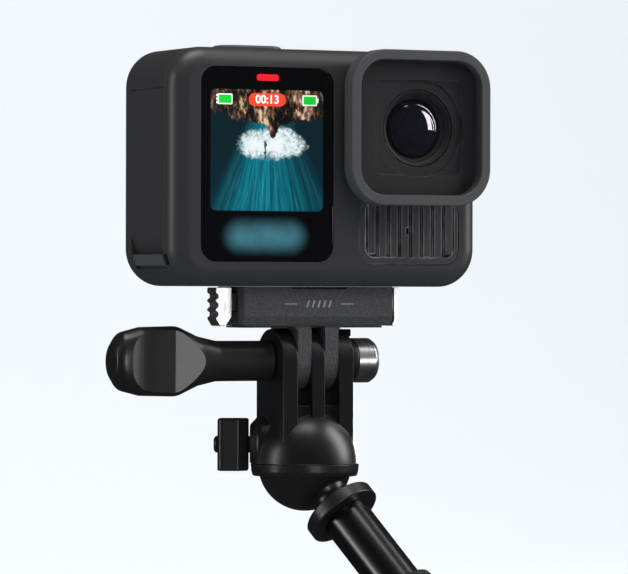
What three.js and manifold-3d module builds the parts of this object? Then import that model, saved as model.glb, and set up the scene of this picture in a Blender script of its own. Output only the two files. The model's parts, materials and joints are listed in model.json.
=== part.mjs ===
// An action camera on a quick-release plate, a three-prong ball head and a short telescopic pole.
// Lengths are in millimetres. Inside the assembly +X is the camera's right seen from the front, the lens looks
// along -Y, +Z is up, and z = 0 is the camera's flat base. The exported group is moved so that its origin is
// the middle of the pole's flat end.
import * as THREE from "three";
import { mergeVertices } from "three/addons/utils/BufferGeometryUtils.js";
import Module from "manifold-3d";

const wasm = await Module();
wasm.setup();

// ---------- driving dimensions ----------
const body = { width: 72.3, height: 50.25, depth: 26.6, corner: 8, wall: 1.6, seamY: -9 };
const frontRound = { inset: 4, deep: 4.2 };
const rearRound = 2;
const seamGap = 0.12; // between two fixed pieces that meet
const slideGap = 0.15; // between a moving piece and its guide

const halfWidth = body.width / 2;
const frontY = -body.depth / 2;
const rearY = body.depth / 2;
const innerX = halfWidth - body.wall;

const frontGlass = { x0: -29.7, x1: 1.1, z0: 5.2, z1: 46.1, corner: 3.4, thick: 0.8 };
const frontScreen = { x0: -27.6, x1: -1.3, z0: 15.8, z1: 41.4, thick: 2 };
const lamp = { x0: -16.9, x1: -11.8, z0: 43.25, z1: 44.6 };
const rearGlass = { x0: -31.5, x1: 31.5, z0: 5.5, z1: 45, corner: 3.4, thick: 0.9 };
const grille = { x0: 7.1, x1: 31.1, z0: 4.65, z1: 18.6, corner: 3.4, ribs: 8, ribPitch: 2.6, thick: 1.5 };
const mic = { x: 18.9, z: 11.9, hole: 0.55 };
const lens = { x: 19.1, z: 33.75, neckRadius: 13.2, barrelRadius: 10.8, barrelHole: 8.4 };
const cover = {
  x: 18.65, side: 33, corner: 8, frontY: -20.3, thick: 4.3, opening: 14.3, openingCorner: 5.6, deep: 2.2,
};
const door = { y0: -8.2, y1: 8.6, z0: 2.9, thick: 2.9, hingeX: -35.2, hingeZ: 40.6, knuckle: 0.95 };
const latch = { z0: 4.3, z1: 6.7, deep: 1.7, travel: 0.7, end: 0.8, notch: 4.3 };
const shutter = { x: -13.3, y: -0.5, length: 15.4, width: 8, proud: 0.95, travel: 0.6 };
const modeKey = { y: 1, z: 27, length: 12, width: 5.5, proud: 0.7, travel: 0.5 };

// The plate's two fingers and the yoke's three prongs share one axis along X.
const hinge = { y: -2, z: -15.85, prongRadius: 6.8, fingerRadius: 6.5, bolt: 2.4, boltHole: 2.6 };
const plate = { halfWidth: 17.5, y0: -8.8, y1: 4.8, top: -0.12, bottom: -8.35, bevel: 2 };
const clip = {
  y0: -5.4, y1: -0.9, z0: -8.4, z1: -0.15,
  stemIn: 13, button: 18.9, buttonEnd: 22.6, claw: 19.6, clawEnd: 20.7,
};
const finger = { inner: 1.65, outer: 4.75 };
const prong = { gap: 0.12, outer: 8.3, foot: -34, webTop: -26.2, guardEnd: 11.4 };

const ball = { y: hinge.y, z: -38, radius: 10, socket: 10.35, shell: 11.8, ringSocket: 10.2 };
const ring = { top: 0.15, bottom: -2.45, radius: 11.6 };
const knob = {
  heading: 26, z: -33.8, boss: 6.3, start: 12, end: 18.7, height: 11.2, halfDepth: 4.1, screw: 1.8,
};

const poleLean = 45; // degrees from straight down
const poleHeading = 27; // degrees from the lens direction towards +X
const pole = {
  neck: 4, collarStart: 12.5, collarEnd: 15.35, collar: 8.1, tube: 5.2, tubeBore: 4.2, tubeEnd: 56,
};
const sleeve = { ringStart: 36.6, ringEnd: 43.6, ring: 6.9, radius: 6.5, bore: 5.35, end: 70, capEnd: 73 };

const thumb = { shaft: 4.3, start: -8.5, neck: -21, end: -45.3, halfHeight: 7.35, halfDepth: 4.6 };
const scoop = { radius: 15, x: -31.5, reach: 2.3, x0: -40.8, x1: -22 };
const nut = { radius: 4.9, collarStart: 8.45, collarEnd: 10.6, end: 16 };

// ---------- materials ----------
const finish = (color, roughness, metalness = 0) =>
  new THREE.MeshStandardMaterial({ color, roughness, metalness });
const finishes = {
  housing: finish(0x2c2c2e, 0.55),
  frame: finish(0x343437, 0.5),
  gloss: finish(0x0b0b0d, 0.12),
  screen: finish(0x0f5468, 0.2),
  lamp: finish(0xe8202c, 0.4),
  optic: finish(0x0d0d12, 0.03),
  inner: finish(0x1d1d1f, 0.6),
  grain: finish(0x2f2f31, 0.8),
  satin: finish(0x141415, 0.35),
  steel: finish(0xc9cacc, 0.2, 1),
  board: finish(0x12402a, 0.5),
  cell: finish(0x30343a, 0.5),
  alloy: finish(0xa7a9ac, 0.4, 1),
  rubber: finish(0x19191a, 0.85),
};

// ---------- solids ----------
// A manifold solid from a closed geometry, its faces turned outwards.
function solid(geometry) {
  const bare = geometry.clone();
  bare.deleteAttribute("normal");
  bare.deleteAttribute("uv");
  const merged = mergeVertices(bare, 1e-4);
  const kept = [];
  for (let i = 0; i < merged.index.count; i += 3) {
    const [a, b, c] = [0, 1, 2].map((k) => merged.index.getX(i + k));
    if (a !== b && b !== c && a !== c) kept.push([a, b, c]);
  }
  const build = (triangles) =>
    new wasm.Manifold(
      new wasm.Mesh({
        numProp: 3,
        vertProperties: merged.attributes.position.array,
        triVerts: new Uint32Array(triangles.flat()),
      }),
    );
  const made = build(kept);
  return made.volume() < 0 ? build(kept.map(([a, b, c]) => [a, c, b])) : made;
}

function geometryOf(made) {
  const mesh = made.getMesh();
  const geometry = new THREE.BufferGeometry();
  geometry.setAttribute("position", new THREE.BufferAttribute(mesh.vertProperties, 3));
  geometry.setIndex(new THREE.BufferAttribute(mesh.triVerts, 1));
  geometry.computeVertexNormals();
  return geometry;
}

const join = (...solids) => solids.reduce((a, b) => a.add(b));
const cut = (first, ...tools) => tools.reduce((a, b) => a.subtract(b), first);

const alongX = new THREE.Matrix4().makeBasis(
  new THREE.Vector3(0, 1, 0),
  new THREE.Vector3(0, 0, 1),
  new THREE.Vector3(1, 0, 0),
);

function block(x0, x1, y0, y1, z0, z1) {
  const made = new THREE.BoxGeometry(x1 - x0, y1 - y0, z1 - z0);
  return solid(made.translate((x0 + x1) / 2, (y0 + y1) / 2, (z0 + z1) / 2));
}

// A rectangle with round corners, as an outline in two axes.
function roundRect(x0, x1, y0, y1, radius) {
  const shape = new THREE.Shape();
  const corners = [
    [x1 - radius, y0 + radius, -Math.PI / 2],
    [x1 - radius, y1 - radius, 0],
    [x0 + radius, y1 - radius, Math.PI / 2],
    [x0 + radius, y0 + radius, Math.PI],
  ];
  for (const [x, y, from] of corners) shape.absarc(x, y, radius, from, from + Math.PI / 2, false);
  return shape;
}

// An outline drawn in X and Z, filling y0 to y1. round rounds both ends: inset in the outline, deep along Y.
function slabY(shape, y0, y1, round = null, segments = 4) {
  const bevel = round
    ? { bevelSize: round.inset, bevelOffset: -round.inset, bevelThickness: round.deep, bevelSegments: 3 }
    : { bevelThickness: 0 };
  const made = new THREE.ExtrudeGeometry(shape, {
    depth: y1 - y0 - 2 * bevel.bevelThickness,
    bevelEnabled: Boolean(round),
    curveSegments: segments,
    ...bevel,
  });
  return solid(made.rotateX(Math.PI / 2).translate(0, y1 - bevel.bevelThickness, 0));
}

// An outline drawn in X and Y, filling z0 to z1.
function slabZ(shape, z0, z1, segments = 5) {
  const settings = { depth: z1 - z0, bevelEnabled: false, curveSegments: segments };
  return solid(new THREE.ExtrudeGeometry(shape, settings).translate(0, 0, z0));
}

// An outline drawn in Y and Z, filling x0 to x1.
function slabX(shape, x0, x1, segments = 6) {
  const settings = { depth: x1 - x0, bevelEnabled: false, curveSegments: segments };
  return solid(new THREE.ExtrudeGeometry(shape, settings).applyMatrix4(alongX).translate(x0, 0, 0));
}

// A profile of [radius, distance] pairs turned about an axis that starts at origin and runs along direction.
function turned(profile, origin, direction, sides = 24) {
  const points = profile.map(([r, d]) => new THREE.Vector2(r, d));
  const made = new THREE.LatheGeometry(points, sides);
  const turn = new THREE.Quaternion().setFromUnitVectors(new THREE.Vector3(0, 1, 0), direction);
  return solid(made.applyQuaternion(turn).translate(...origin.toArray()));
}

const rod = (radius, from, to, origin, direction, sides) =>
  turned([[0, from], [radius, from], [radius, to], [0, to]], origin, direction, sides);

const tubeOf = (outer, bore, from, to, origin, direction, sides) =>
  turned([[bore, from], [outer, from], [outer, to], [bore, to], [bore, from]], origin, direction, sides);

// Points on an arc of the given radius round distance 0 of a turned profile; angles are from its far pole.
function arcProfile(radius, fromDegrees, toDegrees, steps) {
  return Array.from({ length: steps + 1 }, (_, i) => {
    const angle = THREE.MathUtils.degToRad(fromDegrees + ((toDegrees - fromDegrees) * i) / steps);
    return [Math.max(0, radius * Math.sin(angle)), radius * Math.cos(angle)];
  });
}

// ---------- axes ----------
const radians = THREE.MathUtils.degToRad;
const xAxis = new THREE.Vector3(1, 0, 0);
const yAxis = new THREE.Vector3(0, 1, 0);
const zAxis = new THREE.Vector3(0, 0, 1);
const lensAxisPoint = new THREE.Vector3(lens.x, 0, lens.z);
const hingePoint = new THREE.Vector3(0, hinge.y, hinge.z);
const ballCentre = new THREE.Vector3(0, ball.y, ball.z);
const poleAxis = new THREE.Vector3(
  Math.sin(radians(poleLean)) * Math.sin(radians(poleHeading)),
  -Math.sin(radians(poleLean)) * Math.cos(radians(poleHeading)),
  -Math.cos(radians(poleLean)),
);
const knobAxis = new THREE.Vector3(-Math.cos(radians(knob.heading)), Math.sin(radians(knob.heading)), 0);
const knobPoint = new THREE.Vector3(0, ball.y, knob.z);
const poleEnd = ballCentre.clone().addScaledVector(poleAxis, sleeve.capEnd);

const assembly = new THREE.Group();
assembly.position.copy(poleEnd).negate();

function piece(name, made, material) {
  const mesh = new THREE.Mesh(geometryOf(made), material);
  mesh.name = name;
  assembly.add(mesh);
}

// ---------- camera housing ----------
function outline(inset = 0) {
  return roundRect(
    -halfWidth + inset,
    halfWidth - inset,
    inset,
    body.height - inset,
    body.corner - inset,
  );
}

function doorOpening(grow) {
  const slab = block(
    -halfWidth - 1, -halfWidth + door.thick + grow,
    door.y0 - grow, door.y1 + grow, door.z0 - grow, door.hingeZ,
  );
  const cove = slabY(
    new THREE.Shape().absarc(door.hingeX, door.hingeZ, door.knuckle + 3 * slideGap, 0, 2 * Math.PI, false),
    door.y0 - grow, door.y1 + grow,
  );
  return join(slab, cove);
}

function housings() {
  const seam = body.seamY;
  const outerFront = slabY(outline(), frontY, 0, frontRound);
  const outerRear = slabY(outline(), -rearY, rearY, { inset: rearRound, deep: rearRound });
  const hollow = slabY(outline(body.wall), frontY + body.wall, rearY - body.wall);
  const ahead = block(-50, 50, frontY - 1, seam - seamGap / 2, -5, 60);
  const behind = block(-50, 50, seam + seamGap / 2, rearY + 1, -5, 60);
  const window = slabY(
    roundRect(
      frontGlass.x0 - seamGap, frontGlass.x1 + seamGap, frontGlass.z0 - seamGap, frontGlass.z1 + seamGap,
      frontGlass.corner,
    ),
    frontY - 1, -5,
  );
  const grilleHole = slabY(
    roundRect(
      grille.x0 - seamGap, grille.x1 + seamGap, grille.z0 - seamGap, grille.z1 + seamGap, grille.corner,
    ),
    frontY - 1, -5,
  );
  const lensHole = rod(lens.neckRadius + 0.3, frontY - 1, -5, lensAxisPoint, yAxis);
  const tray = slabZ(roundRect(-16.2, 16.2, -9.2, 5.2, 2), -1, 5);
  piece(
    "front_housing",
    cut(outerFront.intersect(ahead), hollow, window, grilleHole, lensHole, tray),
    finishes.housing,
  );

  const rearWindow = slabY(
    roundRect(
      rearGlass.x0 - seamGap, rearGlass.x1 + seamGap, rearGlass.z0 - seamGap, rearGlass.z1 + seamGap,
      rearGlass.corner,
    ),
    5, rearY + 1,
  );
  const shutterHole = slabZ(pill(shutter.x, shutter.y, shutter.length + 0.4, shutter.width + 0.4), 45, 60);
  const modeHole = slabX(
    roundRect(
      modeKey.y - modeKey.width / 2 - 0.2, modeKey.y + modeKey.width / 2 + 0.2,
      modeKey.z - modeKey.length / 2 - 0.2, modeKey.z + modeKey.length / 2 + 0.2, modeKey.width / 2,
    ),
    30, 40,
  );
  piece(
    "rear_housing",
    cut(outerRear.intersect(behind), hollow, rearWindow, tray, shutterHole, modeHole, doorOpening(slideGap)),
    finishes.housing,
  );

  // The door swings on its knuckle; its outer face is part of the housing's own surface.
  const panel = block(-40, -halfWidth + door.thick, door.y0, door.y1, door.z0, door.hingeZ)
    .intersect(outerRear);
  const round = new THREE.Shape().absarc(door.hingeX, door.hingeZ, door.knuckle, 0, 2 * Math.PI, false);
  const knuckle = slabY(round, door.y0, door.y1);
  const pinHole = rod(0.55, -10, 12, new THREE.Vector3(door.hingeX, 0, door.hingeZ), yAxis, 12);
  const pocketEnd = latch.end - 0.2;
  const latchPocket = block(
    -40, -halfWidth + latch.deep + slideGap, door.y0 + pocketEnd, door.y1 - pocketEnd,
    latch.z0 - latch.travel - slideGap, latch.z1 + slideGap,
  );
  const notch = slabY(
    new THREE.Shape([
      new THREE.Vector2(-halfWidth - 1, latch.z1),
      new THREE.Vector2(-halfWidth + 1.1, latch.z1),
      new THREE.Vector2(-halfWidth - 0.1, latch.z1 + latch.notch),
      new THREE.Vector2(-halfWidth - 1, latch.z1 + latch.notch),
    ]),
    door.y0 + pocketEnd, door.y1 - pocketEnd,
  );
  piece("side_door", cut(join(panel, knuckle), pinHole, latchPocket, notch), finishes.housing);
  piece(
    "door_latch",
    block(-40, -halfWidth + latch.deep, door.y0 + latch.end, door.y1 - latch.end, latch.z0, latch.z1)
      .intersect(outerRear),
    finishes.frame,
  );
  piece(
    "door_hinge_pin",
    rod(0.4, door.y0 + 0.5, door.y1 - 0.5, new THREE.Vector3(door.hingeX, 0, door.hingeZ), yAxis, 12),
    finishes.steel,
  );
}

function pill(x, y, length, width) {
  return roundRect(x - length / 2, x + length / 2, y - width / 2, y + width / 2, width / 2 - 1e-3);
}

function frontFace() {
  const glass = frontGlass;
  piece(
    "front_window",
    slabY(roundRect(glass.x0, glass.x1, glass.z0, glass.z1, glass.corner), frontY, frontY + glass.thick),
    finishes.gloss,
  );
  const screen = frontScreen;
  const backY = frontY + glass.thick + seamGap;
  const display = block(screen.x0, screen.x1, backY, backY + screen.thick, screen.z0, screen.z1);
  piece("front_display", display, finishes.screen);
  piece("record_lamp", block(lamp.x0, lamp.x1, backY, backY + 1, lamp.z0, lamp.z1), finishes.lamp);

  // Ribbed panel over the loudspeaker, with a hole for the microphone.
  const g = grille;
  const panel = slabY(roundRect(g.x0, g.x1, g.z0, g.z1, g.corner), frontY, frontY + g.thick);
  const middle = (g.x0 + g.x1) / 2;
  const grooves = Array.from({ length: g.ribs + 1 }, (_, i) => {
    const x = middle + (i - g.ribs / 2) * g.ribPitch;
    return block(x - 0.35, x + 0.35, frontY - 1, frontY + 0.7, g.z0 + 1.4, g.z1 - 0.4);
  });
  const micPoint = new THREE.Vector3(mic.x, 0, mic.z);
  const micHole = rod(mic.hole, frontY - 1, 0, micPoint, yAxis, 12);
  piece("ribbed_panel", cut(panel, ...grooves, micHole), finishes.frame);
  piece("microphone", rod(1.4, frontY + 1.7, frontY + 3, micPoint, yAxis, 12), finishes.alloy);
  piece("loudspeaker", block(11, 28, frontY + 3.2, frontY + 6.5, 4.8, 17), finishes.inner);
}

function rearFace() {
  const g = rearGlass;
  const glass = slabY(roundRect(g.x0, g.x1, g.z0, g.z1, g.corner), rearY - g.thick, rearY);
  piece("rear_window", glass, finishes.gloss);
  const innerY = rearY - g.thick;
  piece("rear_display", block(-28, 28, innerY - 1.7, innerY - seamGap, 8, 43), finishes.screen);
}

// ---------- lens ----------
function lensPieces() {
  const at = lensAxisPoint;
  const front = cover.frontY;
  const back = cover.frontY + cover.thick;
  const square = (x, half, corner) => roundRect(x - half, x + half, lens.z - half, lens.z + half, corner);

  piece(
    "lens_neck",
    tubeOf(lens.neckRadius, 11.6, back + slideGap, frontY + 2.5, at, yAxis, 24),
    finishes.housing,
  );
  const frame = slabY(square(cover.x, cover.side / 2, cover.corner), front, back, { inset: 0.5, deep: 0.5 });
  const opening = slabY(square(cover.x, cover.opening, cover.openingCorner), front - 1, front + cover.deep);
  const backHole = rod(lens.neckRadius + 0.4, front, back + 1, at, yAxis, 24);
  piece("lens_cover_frame", cut(frame, opening, backHole), finishes.frame);
  piece(
    "lens_cover_glass",
    slabY(
      square(cover.x, cover.opening - slideGap, cover.openingCorner - slideGap), front + 0.9, front + 2.1,
    ),
    finishes.optic,
  );
  // The hood behind the glass: a flat face, a square step and a round step down to the lens.
  const hood = rod(lens.neckRadius + 0.1, front + 2.4, back, at, yAxis, 24);
  const squareStep = slabY(square(lens.x, 10, 1), front, front + 3.1);
  const barrelHole = rod(lens.barrelHole, front, back + 1, at, yAxis, 24);
  piece("lens_hood", cut(hood, squareStep, barrelHole), finishes.frame);
  piece(
    "lens_ring",
    turned(
      [[6, -17.1], [7.6, -17.1], [8.1, -16.6], [8.1, -13.4], [6, -13.4], [6, -17.1]], at, yAxis, 24,
    ),
    finishes.inner,
  );
  const dome = arcProfile(7.6, 180, 130, 5).map(([r, d]) => [r, d - 9.9]);
  piece("front_lens", turned([...dome, [5.8, -13.6], [0, -13.6]], at, yAxis, 24), finishes.optic);
  piece("lens_barrel", tubeOf(lens.barrelRadius, 6, -13.2, 2.8, at, yAxis, 24), finishes.inner);
  piece("rear_lens", rod(5.8, -9, -6, at, yAxis, 24), finishes.optic);
  piece("sensor_board", block(8.6, 29.4, 3, 4.2, 23.5, 44.3), finishes.board);
  const chip = block(lens.x - 4.5, lens.x + 4.5, 1.4, 2.85, lens.z - 3.5, lens.z + 3.5);
  piece("image_sensor", chip, finishes.gloss);
}

// ---------- inside and controls ----------
function insides() {
  piece("battery", block(-32.4, 8, -3.8, 8, 4.9, 37.3), finishes.cell);
  piece("memory_card", block(-32.4, -17.4, -3, 8, 37.8, 38.8), finishes.gloss);
  piece("usb_socket", block(-32.4, -25.2, -6.9, -4.2, 14, 23), finishes.steel);
  piece("main_board", block(-33.2, 33.2, 8.8, 9.8, 6, 45), finishes.board);
  piece("heat_spreader", block(9.2, 32.5, 4.8, 5.8, 5.2, 45), finishes.alloy);
  piece("door_seal", doorSeal(), finishes.rubber);
}

function doorSeal() {
  const x = -halfWidth + door.thick + seamGap;
  const outer = block(x, x + 0.35, door.y0 + 0.7, door.y1 - 0.7, 4.4, 39.2);
  return cut(outer, block(x - 1, x + 1, door.y0 + 1.3, door.y1 - 1.3, 5, 38.6));
}

function controls() {
  const s = shutter;
  const top = body.height;
  const cap = slabZ(pill(s.x, s.y, s.length, s.width), top - 1.2, top + s.proud);
  const flange = slabZ(pill(s.x, s.y, s.length + 2, s.width + 2), top - 2.4, top - body.wall - seamGap);
  const neck = slabZ(pill(s.x, s.y, s.length, s.width), top - 2, top - 1);
  piece("shutter_button", join(cap, flange, neck), finishes.frame);
  const switchTop = top - 2.4 - s.travel - 0.1;
  piece("shutter_switch", block(s.x - 2, s.x + 2, s.y - 2, s.y + 2, top - 4.6, switchTop), finishes.alloy);

  const m = modeKey;
  const keyShape = (grow) =>
    roundRect(
      m.y - m.width / 2 - grow, m.y + m.width / 2 + grow, m.z - m.length / 2 - grow, m.z + m.length / 2 + grow,
      m.width / 2 - 1e-3,
    );
  const key = slabX(keyShape(0), halfWidth - 2.2, halfWidth + m.proud);
  const keyFlange = slabX(keyShape(0.8), halfWidth - 2.6, innerX - seamGap);
  piece("mode_button", join(key, keyFlange), finishes.frame);
  const switchEnd = halfWidth - 2.6 - m.travel - 0.1;
  piece("mode_switch", block(30.6, switchEnd, m.y - 1.5, m.y + 1.5, m.z - 2, m.z + 2), finishes.alloy);
}

// Two mounting fingers lie folded in a tray in the base.
function foldedFingers() {
  const tray = slabZ(roundRect(-16, 16, -9, 5, 1.8), 0.1, 4.6);
  const well = slabZ(roundRect(-15.2, 15.2, -8.2, 4.2, 1.4), -1, 3.9);
  piece("finger_tray", cut(tray, well), finishes.inner);
  for (const [name, side] of [["folding_finger_left", -1], ["folding_finger_right", 1]]) {
    const tip = side * 9;
    const shape = new THREE.Shape();
    const turnFrom = side < 0 ? Math.PI / 2 : -Math.PI / 2;
    shape.moveTo(side * 1.6, hinge.y - side * 5.8);
    shape.absarc(tip, hinge.y, 5.8, turnFrom, turnFrom + Math.PI, false);
    shape.lineTo(side * 1.6, hinge.y + side * 5.8);
    const plateSolid = slabZ(shape, 0.5, 3.5);
    const hole = rod(2.6, -1, 5, new THREE.Vector3(tip, hinge.y, 0), zAxis, 16);
    const pinHole = rod(0.75, -10, 6, new THREE.Vector3(side * 3.1, 0, 2), yAxis, 12);
    piece(name, cut(plateSolid, hole, pinHole), finishes.satin);
    const pin = rod(0.6, -7.9, 3.9, new THREE.Vector3(side * 3.1, 0, 2), yAxis, 12);
    piece(`finger_pin_${side < 0 ? "left" : "right"}`, pin, finishes.steel);
  }
}

// ---------- quick-release plate ----------
function hingeOutline(radius, top) {
  const shape = new THREE.Shape();
  shape.moveTo(hinge.y + radius, top);
  shape.lineTo(hinge.y - radius, top);
  shape.absarc(hinge.y, hinge.z, radius, Math.PI, 2 * Math.PI, false);
  return shape;
}

function quickPlate() {
  const p = plate;
  const profile = new THREE.Shape([
    new THREE.Vector2(p.y0, p.top),
    new THREE.Vector2(p.y0, p.bottom + p.bevel),
    new THREE.Vector2(p.y0 + p.bevel, p.bottom),
    new THREE.Vector2(p.y1 - p.bevel, p.bottom),
    new THREE.Vector2(p.y1, p.bottom + p.bevel),
    new THREE.Vector2(p.y1, p.top),
  ]);
  const bar = slabX(profile, -p.halfWidth, p.halfWidth);
  const fingers = [-1, 1].map((side) => {
    const [a, b] = side < 0 ? [-finger.outer, -finger.inner] : [finger.inner, finger.outer];
    return slabX(hingeOutline(hinge.fingerRadius, p.bottom + p.bevel), a, b, 12);
  });
  const boltHole = rod(hinge.boltHole, -20, 20, hingePoint, xAxis);
  const slots = [-1, 1].map((side) => {
    const [a, b] = side < 0 ? [-p.halfWidth - 1, -10] : [10, p.halfWidth + 1];
    return block(a, b, -5.2, -0.9, -5.4, -1.3);
  });
  const magnetWell = slabZ(new THREE.Shape().absarc(0, hinge.y, 4.3, 0, 2 * Math.PI, false), -3.2, 1, 12);
  piece("quick_release_plate", cut(join(bar, ...fingers), boltHole, magnetWell, ...slots), finishes.grain);
  piece("plate_magnet",
    slabZ(new THREE.Shape().absarc(0, hinge.y, 4.1, 0, 2 * Math.PI, false), -3.1, -0.3, 12), finishes.steel);

  // Left: a thick ribbed push button. Right: a thin spring-loaded claw.
  const c = clip;
  const buttonBody = block(-c.buttonEnd, -c.button, c.y0, c.y1, c.z0, c.z1);
  const buttonCorner = slabY(
    new THREE.Shape([
      new THREE.Vector2(-c.button + 0.1, c.z0 - 0.1),
      new THREE.Vector2(-c.button + 0.1, c.z0 + 1.5),
      new THREE.Vector2(-c.button - 1.4, c.z0 - 0.1),
    ]),
    -6, 0,
  );
  const ribGrooves = [-2.4, -4, -5.6, -7.2].map((z) =>
    block(-23, -c.buttonEnd + 0.5, -6, 0, z - 0.25, z + 0.25),
  );
  const stem = (a, b) => block(a, b, -5, -1.1, -5.2, -1.5);
  const button = join(cut(buttonBody, buttonCorner, ...ribGrooves), stem(-c.button - 0.3, -c.stemIn));
  piece("release_button", button, finishes.steel);
  const clawBody = block(c.claw, c.clawEnd, c.y0, c.y1, c.z0, c.z1);
  piece("latch_claw", join(clawBody, stem(c.stemIn, c.claw + 0.4)), finishes.steel);
  for (const [name, side] of [["release_spring", -1], ["claw_spring", 1]]) {
    const [a, b] = side < 0 ? [10.2, 11.6] : [-11.6, -10.2];
    const through = new THREE.Vector3(0, -3.05, -3.35);
    piece(name, tubeOf(1.4, 0.9, a, b, through, xAxis.clone().negate(), 16), finishes.steel);
  }
}

// ---------- ball head ----------
function yoke() {
  const inner = finger.inner - prong.gap;
  const outer = finger.outer + prong.gap;
  const spans = [[-prong.outer, -outer], [-inner, inner], [outer, prong.outer]];
  const outlineYZ = new THREE.Shape();
  outlineYZ.moveTo(hinge.y - hinge.prongRadius, prong.foot);
  outlineYZ.lineTo(hinge.y + hinge.prongRadius, prong.foot);
  outlineYZ.absarc(hinge.y, hinge.z, hinge.prongRadius, 0, Math.PI, false);
  const prongs = spans.map(([a, b]) => slabX(outlineYZ, a, b, 12));
  const web = block(
    -prong.outer, prong.outer, hinge.y - hinge.prongRadius, hinge.y + hinge.prongRadius,
    prong.foot, prong.webTop,
  );
  const shell = turned(
    [...arcProfile(ball.shell, 0, 88.5, 7), [0, ball.shell * Math.cos(radians(88.5))]], ballCentre, zAxis, 28,
  );
  const boss = turned(
    [[0, 6], [knob.boss, 6], [knob.boss, 9.2], [knob.boss - 0.8, 10.6], [knob.boss - 2.2, 11.2], [0, 11.2]],
    knobPoint, knobAxis, 24,
  );
  const nutGuard = cut(
    tubeOf(hinge.prongRadius, 5.15, prong.outer - 0.5, prong.guardEnd, hingePoint, xAxis, 24),
    block(prong.outer, 20, -20, hinge.y + 1, -40, 0),
  );
  const guardSeat = tubeOf(hinge.prongRadius, 5.15, prong.outer - 0.5, prong.outer, hingePoint, xAxis, 24);
  const keepAbove = block(-30, 30, -30, 30, ball.z + 0.3, 0);
  const cavity = turned(
    [...arcProfile(ball.socket, 0, 92, 7), [0, ball.socket * Math.cos(radians(92))]], ballCentre, zAxis, 28,
  );
  const boltHole = rod(hinge.boltHole, -20, 20, hingePoint, xAxis);
  const screwHole = rod(2.4, 5, 14, knobPoint, knobAxis, 16);
  const made = join(...prongs, web, shell, boss, nutGuard, guardSeat).intersect(keepAbove);
  piece("ball_yoke", cut(made, cavity, boltHole, screwHole), finishes.satin);

  const socketArc = [0, 1, 2, 3].map((i) => {
    const d = ring.bottom + ((ring.top - ring.bottom) * i) / 3;
    return [Math.sqrt(ball.ringSocket ** 2 - d ** 2), d];
  });
  piece(
    "socket_ring",
    turned(
      [
        ...socketArc, [ring.radius, ring.top], [ring.radius, ring.bottom + 0.4], [ring.radius - 0.4, ring.bottom],
        socketArc[0]],
      ballCentre, zAxis, 32,
    ),
    finishes.satin,
  );
}

function clampKnob() {
  const k = knob;
  const turn = new THREE.Quaternion().setFromUnitVectors(xAxis, knobAxis);
  const place = (made) => made.applyQuaternion(turn).translate(0, ball.y, 0);
  const plan = roundRect(k.start, k.end, -k.halfDepth, k.halfDepth, 1.6);
  const edge = 0.5;
  const lump = new THREE.ExtrudeGeometry(plan, {
    depth: k.height - 2 * edge, bevelSize: edge, bevelOffset: -edge, bevelThickness: edge, bevelSegments: 1,
    curveSegments: 4,
  });
  const lumpSolid = solid(place(lump.translate(0, 0, k.z - k.height / 2 + edge)));
  piece("clamp_knob", cut(lumpSolid, rod(k.screw + 0.1, 10, 20, knobPoint, knobAxis, 16)), finishes.satin);
  piece(
    "clamp_screw",
    turned([[0, 11], [k.screw, 11], [k.screw, 18.8], [1.2, 19.4], [0, 19.6]], knobPoint, knobAxis, 16),
    finishes.steel,
  );
  piece("friction_pad", rod(2.1, 10, 10.85, knobPoint, knobAxis, 16), finishes.rubber);
}

function poleParts() {
  const p = pole;
  const neckAngle = THREE.MathUtils.radToDeg(Math.asin(p.neck / ball.radius));
  const neckFoot = Math.sqrt(ball.radius ** 2 - p.neck ** 2);
  const sphere = arcProfile(ball.radius, 180, neckAngle, 10);
  piece(
    "ball_stem",
    turned(
      [...sphere, [p.neck - 0.4, neckFoot + 1.2], [p.neck - 0.4, p.collarStart], [3.5, p.collarStart],
        [3.5, 24], [0, 24]],
      ballCentre, poleAxis, 28,
    ),
    finishes.satin,
  );
  piece(
    "pole_collar",
    turned(
      [[3.65, p.collarStart + 0.2], [p.collar - 0.4, p.collarStart + 0.2], [p.collar, p.collarStart + 0.6],
        [p.collar, p.collarEnd - 0.4], [p.collar - 0.4, p.collarEnd], [3.65, p.collarEnd],
        [3.65, p.collarStart + 0.2]],
      ballCentre, poleAxis, 24,
    ),
    finishes.satin,
  );
  const tube = tubeOf(p.tube, p.tubeBore, p.collarEnd + slideGap, p.tubeEnd, ballCentre, poleAxis, 24);
  piece("pole_tube", tube, finishes.satin);
  const s = sleeve;
  const grip = tubeOf(s.ring, s.bore, s.ringStart, s.ringEnd, ballCentre, poleAxis, 24);
  piece("sleeve_collar", grip, finishes.rubber);
  const outer = tubeOf(s.radius, s.bore, s.ringEnd + slideGap, s.end, ballCentre, poleAxis, 24);
  piece("pole_sleeve", outer, finishes.satin);
  piece(
    "pole_end_cap",
    turned(
      [[0, s.end - 4], [s.bore - 0.15, s.end - 4], [s.bore - 0.15, s.end + 0.15], [s.radius, s.end + 0.15],
        [s.radius, s.capEnd - 0.6], [s.radius - 0.6, s.capEnd], [0, s.capEnd]],
      ballCentre, poleAxis, 24,
    ),
    finishes.rubber,
  );
}

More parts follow.
